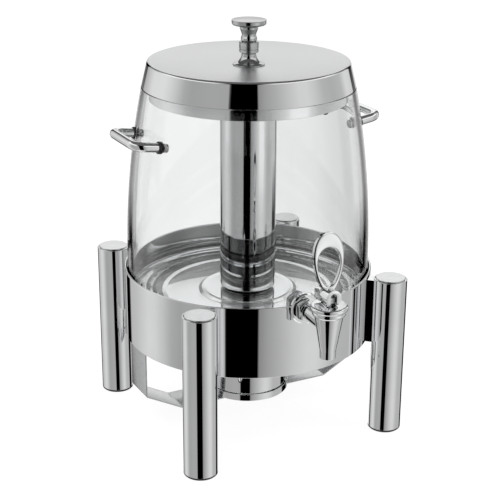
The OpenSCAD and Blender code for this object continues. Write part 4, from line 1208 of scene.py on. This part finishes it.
# Brightness of the studio's wall by its angle from the camera, to the right of the dispenser as the
# camera sees it: a dark gap where the camera stands, a soft light on each side, and dark flags beside
# the white backdrop. The lists are for the wall's foot, for the card of light over it, for its middle
# and for its top
WALL_LOW = (
    (-154, 0.3), (-146, 0.3), (-144, 0), (-130, 0), (-128, 0.5), (-115, 0.55), (-95, 0.72), (-85.5, 0.69),
    (-76, 0.58), (-67, 0.43), (-58, 0.38), (-36, 0.41), (-19.3, 0.4), (-18, 0), (8.6, 0), (9.2, 0.26),
    (16.2, 0.36), (27, 0.47), (38.8, 0.6), (50.7, 0.69), (59.8, 0.69), (69, 0.61), (80, 0.49), (93, 0.48),
    (112, 0.5), (117, 0), (142, 0), (144, 0.3), (154, 0.35))
WALL_CARD = (
    (-154, 0.3), (-139, 0.3), (-137, 0.45), (-115, 0.6), (-95, 0.75), (-85.5, 0.69), (-76, 0.58),
    (-67, 0.43), (-58, 0.38), (-36, 0.41), (-19.3, 0.4), (-18, 0), (8.6, 0), (9.2, 0.26), (16.2, 0.36),
    (27, 0.5), (38.8, 0.7), (47, 0.95), (62, 0.95), (69, 0.7), (80, 0.49), (93, 0.48), (112, 0.6),
    (133, 0.6), (135, 0.25), (146, 0.25), (148, 0.6), (154, 0.6))
WALL_MIDDLE = (
    (-154, 0), (-139, 0), (-137, 0.45), (-115, 0.75), (-95, 0.78), (-85.5, 0.7), (-76, 0.58), (-67, 0.43),
    (-58, 0.38), (-36, 0.4), (-19.3, 0.39), (-18, 0), (8.6, 0), (9.2, 0.28), (16.2, 0.37), (27, 0.45),
    (38.8, 0.57), (50.7, 0.68), (59.8, 0.69), (69, 0.61), (80, 0.48), (93, 0.45), (108, 0.5), (118, 0.72),
    (128, 0.7), (133, 0.65), (135, 0), (146, 0), (148, 0.6), (154, 0.6))
WALL_HIGH = (
    (-154, 0), (-128, 0.3), (-105, 1), (-38, 1), (-22, 0), (12, 0), (28, 1), (105, 1), (128, 0.3), (154, 0))
# Between which heights, in metres, each list takes over from the one before
WALL_ROWS = ((0.02, 0.12, WALL_CARD), (0.25, 0.4, WALL_MIDDLE), (0.62, 0.7, WALL_HIGH))
# The wall's radius, foot and height in millimetres, and half its angle
WALL_R = 700
WALL_Z = -1200
WALL_H = 2200
WALL_HALF = 154

# Brightness of the far backdrop by its angle low down, and by its height higher up; sizes in metres
BACKDROP_LOW = ((-180, 0.95), (-176, 1), (0, 1), (165, 0.76), (172, 0.78), (176, 0.88), (180, 0.95))
BACKDROP_HEIGHT = ((-2.5, 1), (0, 1), (0.2, 0.7), (0.85, 0.72), (1.1, 1), (3, 1))
BACKDROP_R = 2.5
BACKDROP_SPAN = (-2.5, 3)
BACKDROP_CHANGE = (-0.1, 0)

# Ceiling and floor, in metres: the ceiling is dark, and part of the floor's white is its own
CEILING_R = 1.5
CEILING_Z = 1.6
CEILING_GLOW = 0.12
FLOOR_R = 9
FLOOR_SHARE = 0.78
FLOOR_GLOW = 1.15

# Lamps: name, place and size in metres, and share of the key lamp's power
LAMPS = (
    ("key_lamp", (-1.2, -1.1, 2.2), 1.4, 1), ("fill_lamp", (1.6, -0.9, 1.8), 1.4, 0.7),
    ("top_lamp", (0.1, 0.9, 2.6), 1.8, 0.9))
LAMP_AIM = Vector((0, 0, 0.2))

# The camera's sensor in millimetres, and how far it sees in metres
SENSOR_W = 36
CAMERA_REACH = 40


def grades(nodes, links, value, stops, low, high):
    """A value between two limits carried to the brightness listed for it."""
    spread = nodes.new("ShaderNodeMapRange")
    spread.inputs["From Min"].default_value = low
    spread.inputs["From Max"].default_value = high
    links.new(value, spread.inputs["Value"])
    ramp = nodes.new("ShaderNodeValToRGB")
    marks = ramp.color_ramp.elements
    for i, (at, level) in enumerate(stops):
        mark = marks[i] if i < 2 else marks.new(1)
        mark.position = (at - low) / (high - low)
        mark.color = (level, level, level, 1)
    links.new(spread.outputs["Result"], ramp.inputs["Fac"])
    return ramp.outputs["Color"]


def blend(nodes, links, value, low, high, first, second):
    """One brightness below a value's lower limit, another above its upper one."""
    spread = nodes.new("ShaderNodeMapRange")
    spread.inputs["From Min"].default_value = low
    spread.inputs["From Max"].default_value = high
    links.new(value, spread.inputs["Value"])
    mix = nodes.new("ShaderNodeMix")
    mix.data_type = "RGBA"
    links.new(spread.outputs["Result"], mix.inputs["Factor"])
    links.new(first, mix.inputs[6])
    links.new(second, mix.inputs[7])
    return mix.outputs[2]


class DISPENSER_OT_stage(bpy.types.Operator):
    """Set up the floor, the studio wall, the lamps and the camera"""
    bl_idname = "dispenser.stage"
    bl_label = "Stage"

    def execute(self, context):
        scene = context.scene
        options = scene.dispenser_stage
        scene.view_settings.view_transform = "Standard"
        self.make_floor(options)
        self.make_wall(options)
        self.make_backdrop(options)
        self.make_ceiling()
        self.make_lamps(options)
        self.make_world(scene, options)
        self.make_camera(scene, options)
        return {"FINISHED"}

    def make_floor(self, options):
        """A white floor that the camera sees partly by its own light; reflections pass through it."""
        bpy.ops.object.select_all(action="DESELECT")
        bpy.ops.mesh.primitive_circle_add(vertices=96, radius=FLOOR_R, fill_type="NGON")
        floor = named(bpy.context.object, "floor")
        paint = bpy.data.materials.new("floor_paint")
        paint.use_nodes = True
        nodes, links = paint.node_tree.nodes, paint.node_tree.links
        shader = nodes["Principled BSDF"]
        shader.inputs["Base Color"].default_value = (*options.floor_colour, 1)
        shader.inputs["Roughness"].default_value = 1
        shader.inputs["Specular IOR Level"].default_value = 0
        glow = nodes.new("ShaderNodeEmission")
        glow.inputs["Strength"].default_value = FLOOR_GLOW
        path = nodes.new("ShaderNodeLightPath")
        share = nodes.new("ShaderNodeMath")
        share.operation = "MULTIPLY"
        share.inputs[1].default_value = FLOOR_SHARE
        links.new(path.outputs["Is Camera Ray"], share.inputs[0])
        mix = nodes.new("ShaderNodeMixShader")
        links.new(share.outputs["Value"], mix.inputs["Fac"])
        links.new(shader.outputs["BSDF"], mix.inputs[1])
        links.new(glow.outputs["Emission"], mix.inputs[2])
        links.new(mix.outputs["Shader"], nodes["Material Output"].inputs["Surface"])
        floor.data.materials.append(paint)
        floor.visible_glossy = floor.visible_transmission = False

    def panel(self, piece):
        """Makes a piece a panel that only shows in reflections and through the barrel.

        Gives the parts of its paint.
        """
        paint = bpy.data.materials.new(piece.name + "_light")
        paint.use_nodes = True
        nodes, links = paint.node_tree.nodes, paint.node_tree.links
        nodes.remove(nodes["Principled BSDF"])
        glow = nodes.new("ShaderNodeEmission")
        links.new(glow.outputs["Emission"], nodes["Material Output"].inputs["Surface"])
        piece.data.materials.append(paint)
        piece.visible_camera = piece.visible_diffuse = piece.visible_shadow = False
        return nodes, links, glow

    def around(self, nodes, links, options):
        """A point's angle from the camera in degrees, and its height."""
        coords = nodes.new("ShaderNodeTexCoord").outputs["Object"]
        face = nodes.new("ShaderNodeMapping")
        face.inputs["Rotation"].default_value = (0, 0, math.pi / 2 - options.azimuth)
        links.new(coords, face.inputs["Vector"])
        sweep = nodes.new("ShaderNodeTexGradient")
        sweep.gradient_type = "RADIAL"
        links.new(face.outputs["Vector"], sweep.inputs["Vector"])
        angle = nodes.new("ShaderNodeMath")
        angle.operation = "MULTIPLY_ADD"
        angle.inputs[1].default_value = 360
        angle.inputs[2].default_value = -180
        links.new(sweep.outputs["Fac"], angle.inputs[0])
        height = nodes.new("ShaderNodeSeparateXYZ")
        links.new(coords, height.inputs["Vector"])
        return angle.outputs["Value"], height.outputs["Z"]

    def make_wall(self, options):
        """A round wall, open behind the dispenser."""
        front = math.degrees(options.azimuth) - 90
        foot = arc(0, 0, WALL_R, front - WALL_HALF, front + WALL_HALF, 96)
        draw([(x, y, WALL_Z) for x, y in foot])
        pull(0, 0, WALL_H)
        nodes, links, glow = self.panel(close_up("studio_wall"))
        angle, height = self.around(nodes, links, options)
        shade = grades(nodes, links, angle, WALL_LOW, -180, 180)
        for start, end, stops in WALL_ROWS:
            row = grades(nodes, links, angle, stops, -180, 180)
            shade = blend(nodes, links, height, start, end, shade, row)
        links.new(shade, glow.inputs["Color"])

    def make_backdrop(self, options):
        """A far white backdrop, seen through the wall's opening."""
        low, high = BACKDROP_SPAN
        backdrop = simple(bpy.ops.mesh.primitive_cylinder_add, vertices=128, radius=BACKDROP_R,
                          depth=high - low, end_fill_type="NOTHING", location=(0, 0, (low + high) / 2))
        nodes, links, glow = self.panel(named(backdrop, "backdrop"))
        angle, height = self.around(nodes, links, options)
        lower = grades(nodes, links, angle, BACKDROP_LOW, -180, 180)
        upper = grades(nodes, links, height, BACKDROP_HEIGHT, low, high)
        links.new(blend(nodes, links, height, *BACKDROP_CHANGE, lower, upper), glow.inputs["Color"])

    def make_ceiling(self):
        """A dark ceiling."""
        ceiling = simple(bpy.ops.mesh.primitive_circle_add, vertices=96, radius=CEILING_R,
                         fill_type="NGON", location=(0, 0, CEILING_Z))
        glow = self.panel(named(ceiling, "studio_ceiling"))[2]
        glow.inputs["Strength"].default_value = CEILING_GLOW

    def make_lamps(self, options):
        """Three soft lamps, which don't show in the steel."""
        for name, spot, size, share in LAMPS:
            bpy.ops.object.light_add(type="AREA", location=spot)
            lamp = bpy.context.object
            lamp.name = name
            lamp.data.size = size
            lamp.data.energy = options.lamp_power * share
            lamp.rotation_euler = (LAMP_AIM - Vector(spot)).to_track_quat("-Z", "Y").to_euler()
            lamp.visible_glossy = lamp.visible_transmission = False

    def make_world(self, scene, options):
        """Even light from all round, and plain white where the camera or a reflection sees past everything."""
        world = bpy.data.worlds.new("studio")
        scene.world = world
        world.use_nodes = True
        nodes, links = world.node_tree.nodes, world.node_tree.links
        nodes["Background"].inputs["Color"].default_value = (1, 1, 1, 1)
        nodes["Background"].inputs["Strength"].default_value = options.ambient
        white = nodes.new("ShaderNodeBackground")
        white.inputs["Color"].default_value = (1, 1, 1, 1)
        white.inputs["Strength"].default_value = 1
        path = nodes.new("ShaderNodeLightPath")
        seen = path.outputs["Is Camera Ray"]
        for ray in ("Is Glossy Ray", "Is Transmission Ray"):
            either = nodes.new("ShaderNodeMath")
            either.operation = "MAXIMUM"
            links.new(seen, either.inputs[0])
            links.new(path.outputs[ray], either.inputs[1])
            seen = either.outputs["Value"]
        mix = nodes.new("ShaderNodeMixShader")
        links.new(seen, mix.inputs["Fac"])
        links.new(nodes["Background"].outputs["Background"], mix.inputs[1])
        links.new(white.outputs["Background"], mix.inputs[2])
        links.new(mix.outputs["Shader"], nodes["World Output"].inputs["Surface"])

    def make_camera(self, scene, options):
        """The camera that took the photograph, as far as it could be worked out."""
        aim = Vector((0, 0, options.aim_height))
        level = math.cos(options.elevation)
        out = Vector((math.sin(options.azimuth) * level, -math.cos(options.azimuth) * level,
                      math.sin(options.elevation)))
        right = Vector((math.cos(options.azimuth), math.sin(options.azimuth), 0))
        up = out.cross(right)
        right, up = (right * math.cos(options.roll) + up * math.sin(options.roll),
                     up * math.cos(options.roll) - right * math.sin(options.roll))
        bpy.ops.object.camera_add()
        camera = bpy.context.object
        facing = Matrix((right, up, out)).transposed().to_4x4()
        camera.matrix_world = Matrix.Translation(aim + out * options.distance) @ facing
        camera.data.lens = options.lens
        camera.data.sensor_width = SENSOR_W
        camera.data.shift_x = options.shift
        camera.data.clip_end = CAMERA_REACH
        scene.camera = camera


STEPS = (
    DISPENSER_OT_ring, DISPENSER_OT_legs, DISPENSER_OT_bolts, DISPENSER_OT_strap, DISPENSER_OT_barrel,
    DISPENSER_OT_handles, DISPENSER_OT_tap, DISPENSER_OT_lever, DISPENSER_OT_tube, DISPENSER_OT_lid,
    DISPENSER_OT_knob, DISPENSER_OT_stage)
GROUPS = {
    "dispenser_finish": DispenserFinish, "dispenser_shape": DispenserShape,
    "dispenser_stage": DispenserStage}


class DISPENSER_PT_panel(bpy.types.Panel):
    """Lists the dispenser's settings and the steps that model it"""
    bl_idname = "DISPENSER_PT_panel"
    bl_label = "Dispenser"
    bl_space_type = "VIEW_3D"
    bl_region_type = "UI"
    bl_category = "Dispenser"

    def draw(self, context):
        for name in GROUPS:
            settings = getattr(context.scene, name)
            box = self.layout.box()
            for key in settings.bl_rna.properties.keys():
                if key not in ("rna_type", "name"):
                    box.prop(settings, key)
        for step in STEPS:
            self.layout.operator(step.bl_idname)


def register():
    for name, group in GROUPS.items():
        bpy.utils.register_class(group)
        setattr(bpy.types.Scene, name, bpy.props.PointerProperty(type=group))
    for item in (*STEPS, DISPENSER_PT_panel):
        bpy.utils.register_class(item)


def unregister():
    for item in reversed((*STEPS, DISPENSER_PT_panel)):
        bpy.utils.unregister_class(item)
    for name, group in reversed(GROUPS.items()):
        delattr(bpy.types.Scene, name)
        bpy.utils.unregister_class(group)


def main():
    register()
    for step in STEPS:
        getattr(bpy.ops.dispenser, step.bl_idname.split(".")[1])()


if __name__ == "__main__":
    main()
